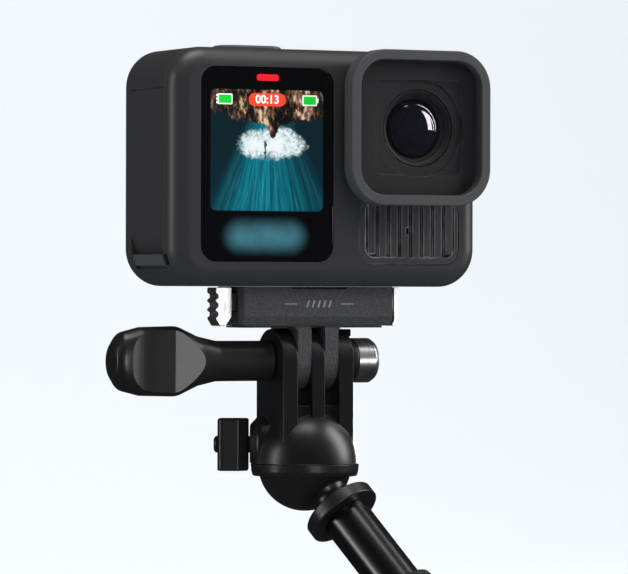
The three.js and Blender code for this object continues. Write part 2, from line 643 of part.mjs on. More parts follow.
// ---------- thumbscrew ----------
function thumbscrew() {
  const t = thumb;
  // The paddle is a turned bulb pressed flat, with a scoop in its front and back.
  const bulb = turned(
    [[0, t.end], [3.6, t.end + 0.2], [5.8, t.end + 1.9], [7, t.end + 6], [t.halfHeight, t.end + 9.5],
      [t.halfHeight, t.end + 15], [5.9, t.end + 19], [4.7, t.neck - 2], [t.shaft, t.neck],
      [t.shaft, t.start], [0, t.start]],
    hingePoint, xAxis, 24,
  );
  const flat = block(-60, 0, hinge.y - t.halfDepth, hinge.y + t.halfDepth, -40, 10);
  const scooped = (side) =>
    rod(
      scoop.radius, -15, 15,
      new THREE.Vector3(scoop.x, hinge.y + side * (scoop.radius + scoop.reach), hinge.z),
      zAxis, 48,
    ).intersect(block(scoop.x0, scoop.x1, -30, 30, -40, 10));
  const boltHole = rod(hinge.bolt + 0.1, -20.2, 0, hingePoint, xAxis);
  piece("thumbscrew_handle", cut(bulb.intersect(flat), scooped(-1), scooped(1), boltHole), finishes.satin);
  piece("thumbscrew_bolt", rod(hinge.bolt, -20, 14.9, hingePoint, xAxis), finishes.steel);
  const nutBore = hinge.bolt + 0.1;
  const spacer = tubeOf(nut.radius, nutBore, nut.collarStart, nut.collarEnd, hingePoint, xAxis, 24);
  piece("nut_collar", spacer, finishes.satin);
  piece(
    "thumbscrew_nut",
    turned(
      [[nutBore, nut.collarEnd + 0.1], [nut.radius, nut.collarEnd + 0.1], [nut.radius, nut.end - 1.3],
        [nut.radius - 0.5, nut.end - 0.4], [nut.radius - 1.5, nut.end], [nutBore, nut.end],
        [nutBore, nut.collarEnd + 0.1]],
      hingePoint, xAxis, 24,
    ),
    finishes.steel,
  );
}

housings();
frontFace();
rearFace();
lensPieces();
insides();
controls();
foldedFingers();
quickPlate();
yoke();
clampKnob();
poleParts();
thumbscrew();

export default assembly;
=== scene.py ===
import bpy, bmesh, json
from math import atan2, cos, hypot, pi, radians, sin, sqrt
from mathutils import Matrix, Vector

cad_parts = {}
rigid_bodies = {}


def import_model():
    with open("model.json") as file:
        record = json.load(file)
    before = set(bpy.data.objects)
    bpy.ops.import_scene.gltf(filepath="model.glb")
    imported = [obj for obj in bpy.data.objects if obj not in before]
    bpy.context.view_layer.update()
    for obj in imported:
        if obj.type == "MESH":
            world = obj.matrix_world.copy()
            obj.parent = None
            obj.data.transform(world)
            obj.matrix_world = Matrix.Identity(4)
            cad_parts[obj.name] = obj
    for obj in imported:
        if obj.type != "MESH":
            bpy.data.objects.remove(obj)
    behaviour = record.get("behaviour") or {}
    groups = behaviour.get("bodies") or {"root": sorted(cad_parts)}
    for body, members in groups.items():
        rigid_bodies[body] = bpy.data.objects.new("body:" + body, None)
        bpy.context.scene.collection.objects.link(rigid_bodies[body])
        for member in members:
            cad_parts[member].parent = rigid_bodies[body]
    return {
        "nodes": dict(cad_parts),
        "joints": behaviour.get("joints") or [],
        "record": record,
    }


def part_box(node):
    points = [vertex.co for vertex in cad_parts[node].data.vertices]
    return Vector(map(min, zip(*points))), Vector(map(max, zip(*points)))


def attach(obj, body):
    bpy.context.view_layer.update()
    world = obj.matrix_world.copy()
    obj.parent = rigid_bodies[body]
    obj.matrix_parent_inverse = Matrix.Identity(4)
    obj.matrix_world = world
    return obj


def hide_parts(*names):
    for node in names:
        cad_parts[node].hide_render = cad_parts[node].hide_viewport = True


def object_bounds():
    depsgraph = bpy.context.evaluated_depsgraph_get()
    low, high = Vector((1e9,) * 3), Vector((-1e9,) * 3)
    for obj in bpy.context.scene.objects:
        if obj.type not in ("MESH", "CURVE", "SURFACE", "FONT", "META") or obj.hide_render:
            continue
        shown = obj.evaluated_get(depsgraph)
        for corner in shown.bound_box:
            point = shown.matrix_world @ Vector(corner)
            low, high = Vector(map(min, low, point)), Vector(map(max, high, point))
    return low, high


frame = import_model()
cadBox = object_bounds()
print("frame loaded,", len(frame["nodes"]), "nodes")

mm = 0.001
joints = {j["name"]: j for j in frame["joints"]}
frontLow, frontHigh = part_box("front_housing")
rearLow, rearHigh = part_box("rear_housing")

# Everything is drawn in millimetres from home, the middle of the camera's flat base: -Y is ahead of the lens
# and +Z is up.
home = Vector(((frontLow.x + frontHigh.x) / 2, (frontLow.y + rearHigh.y) / 2, frontLow.z))


def local(point):
    return (Vector(point) - home) / mm


def span(node):
    low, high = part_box(node)
    return local(low), local(high)


def middle(node):
    low, high = span(node)
    return (low + high) / 2


hingeAt = local(joints["camera_tilt"]["pos_m"])
ballAt = local(joints["head_tilt"]["pos_m"])
poleAxis = Vector(frame["record"]["mounts"][0]["axis"])
knobAxis = Vector(joints["clamp_knob_turn"]["axis"])
knobAt = local(joints["clamp_knob_turn"]["pos_m"])
lensAt = middle("front_lens")
xAxis, yAxis, zAxis = Vector((1, 0, 0)), Vector((0, 1, 0)), Vector((0, 0, 1))


def addPiece(name, verts, faces):
    mesh = bpy.data.meshes.new(name)
    mesh.from_pydata([home + Vector(v) * mm for v in verts], [], faces)
    build = bmesh.new()
    build.from_mesh(mesh)
    bmesh.ops.remove_doubles(build, verts=build.verts, dist=1e-7)
    bmesh.ops.recalc_face_normals(build, faces=build.faces)
    build.to_mesh(mesh)
    build.free()
    piece = bpy.data.objects.new(name, mesh)
    bpy.context.scene.collection.objects.link(piece)
    return piece


def bake(piece):  # turns the modifiers into plain mesh
    graph = bpy.context.evaluated_depsgraph_get()
    mesh = bpy.data.meshes.new_from_object(piece.evaluated_get(graph), preserve_all_data_layers=True,
                                           depsgraph=graph)
    piece.modifiers.clear()
    piece.data = mesh
    return piece


def boolean(piece, tools, operation):
    for tool in tools:
        step = piece.modifiers.new("cut", "BOOLEAN")
        step.object = tool
        step.operation = operation
        step.solver = "EXACT"
        bake(piece)
        bpy.data.objects.remove(tool)
    return piece


def carve(piece, *tools):
    return boolean(piece, tools, "DIFFERENCE")


def fuse(piece, *tools):
    return boolean(piece, tools, "UNION")


def keepInside(piece, *tools):
    return boolean(piece, tools, "INTERSECT")


def softEdges(piece, width, segments=2, angle=32):
    step = piece.modifiers.new("edges", "BEVEL")
    step.width = width * mm
    step.segments = segments
    step.limit_method = "ANGLE"
    step.angle_limit = radians(angle)
    step.use_clamp_overlap = True
    step.miter_outer = "MITER_ARC"
    return bake(piece)


def smoothShade(piece, angle=40):
    piece.data.shade_smooth()
    piece.data.set_sharp_from_angle(angle=radians(angle))
    step = piece.modifiers.new("normals", "WEIGHTED_NORMAL")
    step.keep_sharp = True
    return bake(piece)


def roundRect(u0, u1, v0, v1, radius, steps=10):
    def ring(inset):
        r = max(radius - inset, 0.01)
        corners = (
            (u1 - inset - r, v0 + inset + r, -90), (u1 - inset - r, v1 - inset - r, 0),
            (u0 + inset + r, v1 - inset - r, 90), (u0 + inset + r, v0 + inset + r, 180),
        )
        return [
            (cu + r * cos(radians(start + 90 * i / steps)), cv + r * sin(radians(start + 90 * i / steps)))
            for cu, cv, start in corners for i in range(steps + 1)
        ]
    return ring


def squareAbout(cu, cv, half, radius, steps=12):
    return roundRect(cu - half, cu + half, cv - half, cv + half, radius, steps)


def fixedRing(points):  # an outline that keeps its size
    return lambda inset: points


# A depth profile with both ends rounded, each by a radius or by a pair (inset, deep).
def rounded(start, end, near=0.3, far=0.3, steps=5):
    def pair(value):
        return value if isinstance(value, tuple) else (value, value)
    (nearIn, nearDeep), (farIn, farDeep) = pair(near), pair(far)
    turn = [pi / 2 * i / steps for i in range(steps + 1)]
    first = [(nearIn * (1 - sin(t)), start + nearDeep * (1 - cos(t))) for t in turn]
    last = [(farIn * (1 - cos(t)), end - farDeep * (1 - sin(t))) for t in turn]
    return first + last


def slab(name, ring, profile, axis="y"):  # rings of one outline stacked along an axis
    order = {
        "x": lambda u, v, d: (d, u, v),
        "y": lambda u, v, d: (u, d, v),
        "z": lambda u, v, d: (u, v, d),
    }[axis]
    loops = [[order(u, v, depth) for u, v in ring(inset)] for inset, depth in profile]
    return loft(name, loops)


def loft(name, loops):
    count = len(loops[0])
    verts = [v for loop in loops for v in loop]
    faces = [tuple(range(count))[::-1], tuple((len(loops) - 1) * count + i for i in range(count))]
    for a in range(len(loops) - 1):
        for i in range(count):
            j = (i + 1) % count
            faces.append((a * count + i, a * count + j, (a + 1) * count + j, (a + 1) * count + i))
    return addPiece(name, verts, faces)


def box(name, x0, x1, y0, y1, z0, z1):
    return slab(name, fixedRing([(x0, y0), (x1, y0), (x1, y1), (x0, y1)]), [(0, z0), (0, z1)], "z")


def rounder(points, steps=5):  # (u, v, radius) corners turned into an outline with round corners
    outline = []
    for i, (u, v, radius) in enumerate(points):
        here = Vector((u, v))
        before = Vector(points[i - 1][:2])
        after = Vector(points[(i + 1) % len(points)][:2])
        if radius <= 0:
            outline.append((u, v))
            continue
        toBefore, toAfter = (before - here).normalized(), (after - here).normalized()
        half = toBefore.angle(toAfter) / 2
        reach = min(radius / max(sin(half) / cos(half), 1e-6), (before - here).length * 0.49,
                    (after - here).length * 0.49)
        r = reach * sin(half) / cos(half)
        centre = here + (toBefore + toAfter).normalized() * (r / sin(half))
        first = here + toBefore * reach - centre
        last = here + toAfter * reach - centre
        a0, a1 = atan2(first.y, first.x), atan2(last.y, last.x)
        sweep = (a1 - a0 + pi) % (2 * pi) - pi
        outline += [
            (centre.x + r * cos(a0 + sweep * k / steps), centre.y + r * sin(a0 + sweep * k / steps))
            for k in range(steps + 1)
        ]
    return outline


def arcPoints(cu, cv, radius, start, end, steps):
    return [
        (cu + radius * cos(radians(start + (end - start) * i / steps)),
         cv + radius * sin(radians(start + (end - start) * i / steps)))
        for i in range(steps + 1)
    ]


def lathe(name, profile, origin, axis, sides=96):  # closed profile of (radius, distance)
    turn = zAxis.rotation_difference(axis).to_matrix()
    verts, rows = [], []
    for radius, distance in profile:
        if radius < 1e-6:
            rows.append([len(verts)] * sides)
            verts.append(Vector(origin) + axis * distance)
            continue
        rows.append(list(range(len(verts), len(verts) + sides)))
        for i in range(sides):
            angle = 2 * pi * i / sides
            verts.append(Vector(origin) + turn @ Vector((radius * cos(angle), radius * sin(angle), distance)))
    faces = []
    pairs = list(zip(rows, rows[1:]))
    if profile[0][0] > 1e-6:
        pairs.append((rows[-1], rows[0]))
    for low, high in pairs:
        for i in range(sides):
            j = (i + 1) % sides
            corners = [low[i], low[j], high[j], high[i]]
            face = [c for k, c in enumerate(corners) if c != corners[k - 1]]
            if len(face) > 2:
                faces.append(face)
    return addPiece(name, verts, faces)


def sphereArc(radius, start, end, steps=24, centre=0.0):  # angles from the far pole of the axis
    return [
        (max(0.0, radius * sin(radians(start + (end - start) * i / steps))),
         centre + radius * cos(radians(start + (end - start) * i / steps)))
        for i in range(steps + 1)
    ]


def roundedRod(radius, start, end, soft=0.3, steps=5, startSoft=None):
    startSoft = soft if startSoft is None else startSoft
    points = [(0, start, 0), (radius, start, startSoft), (radius, end, soft), (0, end, 0)]
    return rounder(points, steps)


def roundedTube(outer, bore, start, end, soft=0.3, steps=5):
    return rounder([(bore, start, soft), (outer, start, soft), (outer, end, soft), (bore, end, soft)], steps)


def place(piece, body, slotName, material, *nodes):
    piece.data.materials.clear()
    piece.data.materials.append(material)
    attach(piece, body)
    if nodes:
        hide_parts(*nodes)
    return piece


def startGroup(name, inputs, outputs):
    tree = bpy.data.node_groups.new(name, "ShaderNodeTree")
    for label, kind, value in inputs:
        socket = tree.interface.new_socket(label, in_out="INPUT", socket_type="NodeSocket" + kind)
        if value is not None:
            socket.default_value = value
    for label, kind in outputs:
        tree.interface.new_socket(label, in_out="OUTPUT", socket_type="NodeSocket" + kind)
    entry = tree.nodes.new("NodeGroupInput")
    leave = tree.nodes.new("NodeGroupOutput")
    return tree, entry.outputs, leave.inputs


def wire(tree, source, target):
    if isinstance(source, (int, float)):
        target.default_value = source
    elif isinstance(source, tuple):
        target.default_value = source
    else:
        tree.links.new(source, target)


def mathNode(tree, operation, a, b=0.0, c=None, clamp=False):
    node = tree.nodes.new("ShaderNodeMath")
    node.operation = operation
    node.use_clamp = clamp
    wire(tree, a, node.inputs[0])
    wire(tree, b, node.inputs[1])
    if c is not None:
        wire(tree, c, node.inputs[2])
    return node.outputs[0]


def mapRange(tree, value, low, high, outLow=0.0, outHigh=1.0):
    node = tree.nodes.new("ShaderNodeMapRange")
    node.interpolation_type = "SMOOTHSTEP"
    for i, item in enumerate((value, low, high, outLow, outHigh)):
        wire(tree, item, node.inputs[i])
    return node.outputs[0]


def mixColor(tree, amount, a, b):
    node = tree.nodes.new("ShaderNodeMix")
    node.data_type = "RGBA"
    wire(tree, amount, node.inputs[0])
    wire(tree, a, node.inputs[6])
    wire(tree, b, node.inputs[7])
    return node.outputs[2]


def noise(tree, vector, scale, detail=2.0, rough=0.5):
    node = tree.nodes.new("ShaderNodeTexNoise")
    wire(tree, vector, node.inputs["Vector"])
    wire(tree, scale, node.inputs["Scale"])
    node.inputs["Detail"].default_value = detail
    node.inputs["Roughness"].default_value = rough
    return node.outputs["Fac"]


def stretch(tree, vector, scale):
    node = tree.nodes.new("ShaderNodeMapping")
    wire(tree, vector, node.inputs["Vector"])
    node.inputs["Scale"].default_value = scale
    return node.outputs["Vector"]


def makeMouldGrain():  # fine pebbled texture of a moulded skin
    tree, given, out = startGroup(
        "mouldGrain",
        [("Vector", "Vector", None), ("Tint", "Color", (0.03, 0.03, 0.03, 1)),
         ("Grain Scale", "Float", 3000.0),
         ("Contrast", "Float", 0.2)],
        [("Color", "Color"), ("Height", "Float")],
    )
    coarse = noise(tree, given["Vector"], given["Grain Scale"], 3.0, 0.6)
    cells = tree.nodes.new("ShaderNodeTexVoronoi")
    wire(tree, given["Vector"], cells.inputs["Vector"])
    wire(tree, given["Grain Scale"], cells.inputs["Scale"])
    height = mathNode(tree, "ADD", mathNode(tree, "MULTIPLY", coarse, 0.6),
                      mathNode(tree, "MULTIPLY", cells.outputs["Distance"], 0.5))
    shift = mathNode(tree, "MULTIPLY", mathNode(tree, "SUBTRACT", height, 0.5), given["Contrast"])
    bright = tree.nodes.new("ShaderNodeHueSaturation")
    wire(tree, given["Tint"], bright.inputs["Color"])
    wire(tree, mathNode(tree, "ADD", 1.0, shift), bright.inputs["Value"])
    wire(tree, bright.outputs["Color"], out["Color"])
    wire(tree, height, out["Height"])
    return tree


def makePaintedEdgeHighlight():  # painted highlight: lighter colour along the convex edges, broken into patches
    tree, given, out = startGroup(
        "paintedEdgeHighlight",
        [("Vector", "Vector", None), ("Base", "Color", (0.03, 0.03, 0.03, 1)),
         ("Worn", "Color", (0.1, 0.1, 0.1, 1)),
         ("Reach", "Float", 0.0003), ("Amount", "Float", 0.5)],
        [("Color", "Color"), ("Mask", "Float")],
    )
    rounding = tree.nodes.new("ShaderNodeBevel")
    rounding.samples = 4
    wire(tree, given["Reach"], rounding.inputs["Radius"])
    surface = tree.nodes.new("ShaderNodeNewGeometry")
    facing = tree.nodes.new("ShaderNodeVectorMath")
    facing.operation = "DOT_PRODUCT"
    wire(tree, rounding.outputs["Normal"], facing.inputs[0])
    wire(tree, surface.outputs["Normal"], facing.inputs[1])
    bend = mathNode(tree, "SUBTRACT", 1.0, facing.outputs["Value"])
    patches = mapRange(tree, noise(tree, given["Vector"], 220.0, 4.0, 0.6), 0.3, 0.7)
    mask = mathNode(tree, "MULTIPLY", mapRange(tree, bend, 0.015, 0.16), patches)
    mask = mathNode(tree, "MULTIPLY", mask, given["Amount"], clamp=True)
    wire(tree, mixColor(tree, mask, given["Base"], given["Worn"]), out["Color"])
    wire(tree, mask, out["Mask"])
    return tree


def makeHandling():  # faint smears and dust that change the gloss
    tree, given, out = startGroup(
        "handling",
        [("Vector", "Vector", None), ("Base", "Color", (0.03, 0.03, 0.03, 1)), ("Roughness", "Float", 0.5),
         ("Smear", "Float", 0.08), ("Dust", "Float", 0.02)],
        [("Color", "Color"), ("Roughness", "Float")],
    )
    broad = noise(tree, given["Vector"], 45.0, 4.0, 0.55)
    swirl = noise(tree, stretch(tree, given["Vector"], (1, 1, 3)), 190.0, 3.0, 0.6)
    mixed = mathNode(tree, "ADD", mathNode(tree, "MULTIPLY", broad, 0.6),
                     mathNode(tree, "MULTIPLY", swirl, 0.4))
    centred = mathNode(tree, "SUBTRACT", mixed, 0.5)
    gloss = mathNode(tree, "MULTIPLY_ADD", centred, mathNode(tree, "MULTIPLY", given["Smear"], 2.0),
                     given["Roughness"])
    specks = mapRange(tree, noise(tree, given["Vector"], 2600.0, 1.0), 0.68, 0.8)
    dusty = mathNode(tree, "MULTIPLY", specks, given["Dust"])
    wire(tree, mixColor(tree, dusty, given["Base"], (0.35, 0.34, 0.32, 1)), out["Color"])
    wire(tree, gloss, out["Roughness"])
    return tree


def makeTurnedLines():  # fine tool lines on turned or drawn metal
    tree, given, out = startGroup(
        "turnedLines",
        [("Vector", "Vector", None), ("Tint", "Color", (0.6, 0.6, 0.6, 1)), ("Line Scale", "Float", 9000.0)],
        [("Color", "Color"), ("Height", "Float")],
    )
    lines = noise(tree, stretch(tree, given["Vector"], (1.0, 0.04, 0.04)), given["Line Scale"], 3.0, 0.7)
    cloud = noise(tree, given["Vector"], 300.0, 2.0)
    mixed = mathNode(tree, "ADD", mathNode(tree, "MULTIPLY", lines, 0.7),
                     mathNode(tree, "MULTIPLY", cloud, 0.3))
    wire(tree, mixColor(tree, mapRange(tree, mixed, 0.35, 0.65), (0.42, 0.42, 0.43, 1), given["Tint"]),
         out["Color"])
    wire(tree, lines, out["Height"])
    return tree


def makeFilm():  # the moving picture on the front screen: rock above, foam, then streaks of deep water
    tree, given, out = startGroup("film", [("U", "Float", 0.5), ("V", "Float", 0.5)], [("Color", "Color")])
    u, v = given["U"], given["V"]
    place2d = tree.nodes.new("ShaderNodeCombineXYZ")
    wire(tree, u, place2d.inputs[0])
    wire(tree, v, place2d.inputs[1])
    flat = place2d.outputs[0]

    fanDepth = mathNode(tree, "SUBTRACT", 1.18, v)
    fan = mathNode(tree, "DIVIDE", mathNode(tree, "SUBTRACT", u, 0.53), fanDepth)
    fanAt = tree.nodes.new("ShaderNodeCombineXYZ")
    wire(tree, fan, fanAt.inputs[0])
    wire(tree, mathNode(tree, "MULTIPLY", v, 0.03), fanAt.inputs[1])
    streaks = mapRange(tree, noise(tree, fanAt.outputs[0], 34.0, 4.0, 0.65), 0.36, 0.68)
    threads = mapRange(tree, noise(tree, fanAt.outputs[0], 90.0, 2.0, 0.6), 0.56, 0.72)
    spread = mathNode(tree, "ABSOLUTE", fan)
    inside = mapRange(tree, spread, 0.38, 0.5, 1.0, 0.0)
    lit = mapRange(tree, mathNode(tree, "ABSOLUTE", mathNode(tree, "ADD", fan, 0.06)), 0.08, 0.42, 1.0, 0.25)
    deep = mixColor(tree, mapRange(tree, v, 0.0, 0.6), (0.001, 0.022, 0.034, 1), (0.003, 0.016, 0.022, 1))
    water = mixColor(tree, streaks, (0.001, 0.07, 0.11, 1), (0.003, 0.26, 0.34, 1))
    water = mixColor(tree, mathNode(tree, "MULTIPLY", threads, 0.35), water, (0.16, 0.60, 0.66, 1))
    water = mixColor(tree, mathNode(tree, "MULTIPLY", inside, lit), deep, water)

    wobble = mathNode(tree, "SUBTRACT", noise(tree, flat, 7.0, 6.0, 0.7), 0.5)
    foamU = mathNode(tree, "DIVIDE", mathNode(tree, "SUBTRACT", u, 0.53), 0.31)
    foamV = mathNode(tree, "DIVIDE", mathNode(tree, "SUBTRACT", v, 0.56), 0.14)
    foamFar = mathNode(tree, "ADD", mathNode(tree, "POWER", mathNode(tree, "ABSOLUTE", foamU), 2.0),
                       mathNode(tree, "POWER", mathNode(tree, "ABSOLUTE", foamV), 2.0))
    foamEdge = mathNode(tree, "MULTIPLY_ADD", wobble, 2.4, foamFar)
    foam = mapRange(tree, foamEdge, 0.5, 1.1, 1.0, 0.0)
    core = mapRange(tree, foamEdge, 0.0, 0.75, 1.0, 0.0)
    lace = mapRange(tree, noise(tree, flat, 30.0, 6.0, 0.8), 0.36, 0.56)
    lace = mathNode(tree, "MAXIMUM", lace, core)
    foamTint = mixColor(tree, lace, (0.05, 0.28, 0.33, 1), (0.88, 0.95, 0.96, 1))
    picture = mixColor(tree, foam, water, foamTint)
    crackAt = mathNode(tree, "ABSOLUTE", mathNode(tree, "SUBTRACT", u, mathNode(
        tree, "MULTIPLY_ADD", noise(tree, flat, 26.0, 3.0), 0.06, 0.455)))
    crack = mathNode(tree, "MULTIPLY", mapRange(tree, crackAt, 0.004, 0.012, 1.0, 0.0),
                     mathNode(tree, "MULTIPLY", mapRange(tree, v, 0.4, 0.44),
                              mapRange(tree, v, 0.56, 0.6, 1.0, 0.0)))
    picture = mixColor(tree, crack, picture, (0.01, 0.05, 0.06, 1))

    rim = mathNode(tree, "ABSOLUTE", mathNode(tree, "SUBTRACT", u, 0.55))
    drop = mathNode(tree, "MULTIPLY", mapRange(tree, rim, 0.0, 0.075, 1.0, 0.0), 0.13)
    bowl = mathNode(tree, "MULTIPLY", mathNode(tree, "POWER", rim, 2.0), 0.35)
    edge = mathNode(tree, "ADD", mathNode(tree, "SUBTRACT", 0.715, drop), bowl)
    edge = mathNode(tree, "MULTIPLY_ADD", wobble, 0.22, edge)
    rock = mapRange(tree, mathNode(tree, "SUBTRACT", v, edge), -0.008, 0.012)
    leaning = tree.nodes.new("ShaderNodeMapping")
    wire(tree, flat, leaning.inputs["Vector"])
    leaning.inputs["Rotation"].default_value = (0, 0, 0.5)
    leaning.inputs["Scale"].default_value = (1.0, 0.45, 1.0)
    crumbs = noise(tree, leaning.outputs[0], 24.0, 9.0, 0.74)
    boulders = noise(tree, leaning.outputs[0], 6.0, 3.0, 0.5)
    crumbs = mathNode(tree, "ADD", mathNode(tree, "MULTIPLY", crumbs, 0.6),
                      mathNode(tree, "MULTIPLY", boulders, 0.4))
    ramp = tree.nodes.new("ShaderNodeValToRGB")
    wire(tree, crumbs, ramp.inputs[0])
    ramp.color_ramp.elements[0].position = 0.455
    ramp.color_ramp.elements[0].color = (0.004, 0.004, 0.004, 1)
    ramp.color_ramp.elements[1].position = 0.6
    ramp.color_ramp.elements[1].color = (0.78, 0.6, 0.43, 1)
    for position, tint in ((0.5, (0.045, 0.025, 0.015, 1)), (0.55, (0.27, 0.14, 0.075, 1))):
        ramp.color_ramp.elements.new(position).color = tint
    sides = mapRange(tree, rim, 0.2, 0.5, 1.0, 0.3)
    tip = mapRange(tree, v, 0.58, 0.7, 0.45, 1.0)
    rockTint = mixColor(tree, mathNode(tree, "MULTIPLY", sides, tip), (0.012, 0.012, 0.011, 1),
                        ramp.outputs[0])
    picture = mixColor(tree, rock, picture, rockTint)
    wire(tree, picture, out["Color"])
    return tree


mouldGrain = makeMouldGrain()
paintedEdgeHighlight = makePaintedEdgeHighlight()
handling = makeHandling()
turnedLines = makeTurnedLines()
film = makeFilm()
print("shader groups made")


def startMaterial(name, **fixed):
    material = bpy.data.materials.new(name)
    material.use_nodes = True
    tree = material.node_tree
    shader = tree.nodes["Principled BSDF"]
    for socket, value in fixed.items():
        shader.inputs[socket.replace("_", " ")].default_value = value
    where = tree.nodes.new("ShaderNodeTexCoord").outputs["Object"]
    return material, tree, shader, where


def useGroup(tree, group, **values):
    node = tree.nodes.new("ShaderNodeGroup")
    node.node_tree = group
    for label, value in values.items():
        wire(tree, value, node.inputs[label.replace("_", " ")])
    return node.outputs


def addBump(tree, shader, height, strength, distance):
    bump = tree.nodes.new("ShaderNodeBump")
    bump.inputs["Strength"].default_value = strength
    bump.inputs["Distance"].default_value = distance
    wire(tree, height, bump.inputs["Height"])
    wire(tree, bump.outputs["Normal"], shader.inputs["Normal"])


def mouldedPlastic(name, look):
    material, tree, shader, where = startMaterial(name, IOR=1.47)
    shader.inputs["Specular IOR Level"].default_value = look["gloss"]
    skin = useGroup(tree, mouldGrain, Vector=where, Tint=look["tint"], Grain_Scale=look["grainScale"],
                    Contrast=look["contrast"])
    # painted highlight along the edges, in the look's edge tint and amount
    worn = useGroup(tree, paintedEdgeHighlight, Vector=where, Base=skin["Color"], Worn=look["worn"],
                    Reach=look["wearReach"],
                    Amount=look["wear"])
    touched = useGroup(tree, handling, Vector=where, Base=worn["Color"], Roughness=look["roughness"],
                       Smear=look["smear"], Dust=look["dust"])
    wire(tree, touched["Color"], shader.inputs["Base Color"])
    wire(tree, touched["Roughness"], shader.inputs["Roughness"])
    addBump(tree, shader, skin["Height"], look["bump"], 0.0001)
    return material


def plasticLook(tint, roughness, **changes):
    look = {
        # the edge keys set the colour, amount and reach of a painted highlight along the edges
        "tint": (*tint, 1), "roughness": roughness, "gloss": 0.5, "grainScale": 4200.0, "contrast": 0.25,
        "bump": 0.12, "smear": 0.06, "dust": 0.03, "worn": (0.12, 0.12, 0.125, 1), "wear": 0.25,
        "wearReach": 0.00025,
    }
    look.update(changes)
    return look


def metal(name, tint, roughness, lineScale=9000.0, bump=0.05, worn=(0.85, 0.85, 0.86, 1)):
    material, tree, shader, where = startMaterial(name, Metallic=1.0)
    lines = useGroup(tree, turnedLines, Vector=where, Tint=(*tint, 1), Line_Scale=lineScale)
    # painted highlight along the metal's edges
    edges = useGroup(tree, paintedEdgeHighlight, Vector=where, Base=lines["Color"], Worn=worn, Reach=0.0002, Amount=0.6)
    touched = useGroup(tree, handling, Vector=where, Base=edges["Color"], Roughness=roughness, Smear=0.06,
                       Dust=0.01)
    wire(tree, touched["Color"], shader.inputs["Base Color"])
    wire(tree, touched["Roughness"], shader.inputs["Roughness"])
    addBump(tree, shader, lines["Height"], bump, 0.00005)
    return material


def glossPanel(name, tint, roughness=0.06):
    material, tree, shader, where = startMaterial(name, IOR=1.5, Coat_Roughness=0.03)
    touched = useGroup(tree, handling, Vector=where, Base=(*tint, 1), Roughness=roughness, Smear=0.03,
                       Dust=0.01)
    wire(tree, touched["Color"], shader.inputs["Base Color"])
    wire(tree, touched["Roughness"], shader.inputs["Roughness"])
    return material, tree, shader, where


def screenPlace(tree, where, low, high):  # 0 to 1 across and up a rectangle of the front
    split = tree.nodes.new("ShaderNodeSeparateXYZ")
    wire(tree, where, split.inputs[0])
    lowAt, highAt = home + Vector(low) * mm, home + Vector(high) * mm
    across = mathNode(tree, "DIVIDE", mathNode(tree, "SUBTRACT", split.outputs[0], lowAt.x),
                      highAt.x - lowAt.x)
    up = mathNode(tree, "DIVIDE", mathNode(tree, "SUBTRACT", split.outputs[2], lowAt.z), highAt.z - lowAt.z)
    return across, up


def softBox(tree, across, up, cornerU, cornerV, fade):  # 1 inside a rounded rectangle that fills 0 to 1
    farU = mathNode(tree, "MAXIMUM", mathNode(tree, "SUBTRACT", mathNode(tree, "ABSOLUTE", mathNode(
        tree, "SUBTRACT", across, 0.5)), 0.5 - cornerU), 0.0)
    farV = mathNode(tree, "MAXIMUM", mathNode(tree, "SUBTRACT", mathNode(tree, "ABSOLUTE", mathNode(
        tree, "SUBTRACT", up, 0.5)), 0.5 - cornerV), 0.0)
    far = mathNode(tree, "SQRT", mathNode(tree, "ADD",
                   mathNode(tree, "POWER", mathNode(tree, "DIVIDE", farU, cornerU), 2.0),
                   mathNode(tree, "POWER", mathNode(tree, "DIVIDE", farV, cornerV), 2.0)))
    return mapRange(tree, far, 1.0 - fade, 1.0, 1.0, 0.0)


def frontGlassMaterial():
    look = {"brightness": 1.0, "glowTint": (0.075, 0.27, 0.34, 1), "glow": 0.72}
    material, tree, shader, where = glossPanel("front_glass", (0.0025, 0.0025, 0.003))
    low, high = span("front_display")
    across, up = screenPlace(tree, where, low, high)
    picture = useGroup(tree, film, U=across, V=up)
    mask = softBox(tree, across, up, 0.05, 0.05, 0.12)
    glowLow = Vector((-25.6, 0, 5.9))
    glowHigh = Vector((-4.0, 0, 15.2))
    glowU, glowV = screenPlace(tree, where, glowLow, glowHigh)
    glow = mathNode(tree, "MULTIPLY", softBox(tree, glowU, glowV, 0.24, 0.5, 0.95), look["glow"])
    patchy = mapRange(tree, noise(tree, where, 260.0, 2.0), 0.2, 0.8, 0.75, 1.0)
    glow = mathNode(tree, "MULTIPLY", glow, patchy)
    shown = mixColor(tree, mask, (0, 0, 0, 1), picture["Color"])
    shown = mixColor(tree, glow, shown, look["glowTint"])
    wire(tree, shown, shader.inputs["Emission Color"])
    shader.inputs["Emission Strength"].default_value = look["brightness"]
    return material


def glowing(name, tint, strength):
    material, tree, shader, where = startMaterial(name, Roughness=0.3)
    speck = useGroup(tree, mouldGrain, Vector=where, Tint=(*tint, 1), Grain_Scale=2500.0, Contrast=0.12)
    wire(tree, speck["Color"], shader.inputs["Base Color"])
    wire(tree, speck["Color"], shader.inputs["Emission Color"])
    shader.inputs["Emission Strength"].default_value = strength
    return material


def clearGlass(name, tint, alpha):
    material, tree, shader, where = startMaterial(name, IOR=1.5, Alpha=alpha)
    touched = useGroup(tree, handling, Vector=where, Base=(*tint, 1), Roughness=0.03, Smear=0.02, Dust=0.03)
    wire(tree, touched["Color"], shader.inputs["Base Color"])
    wire(tree, touched["Roughness"], shader.inputs["Roughness"])
    return material


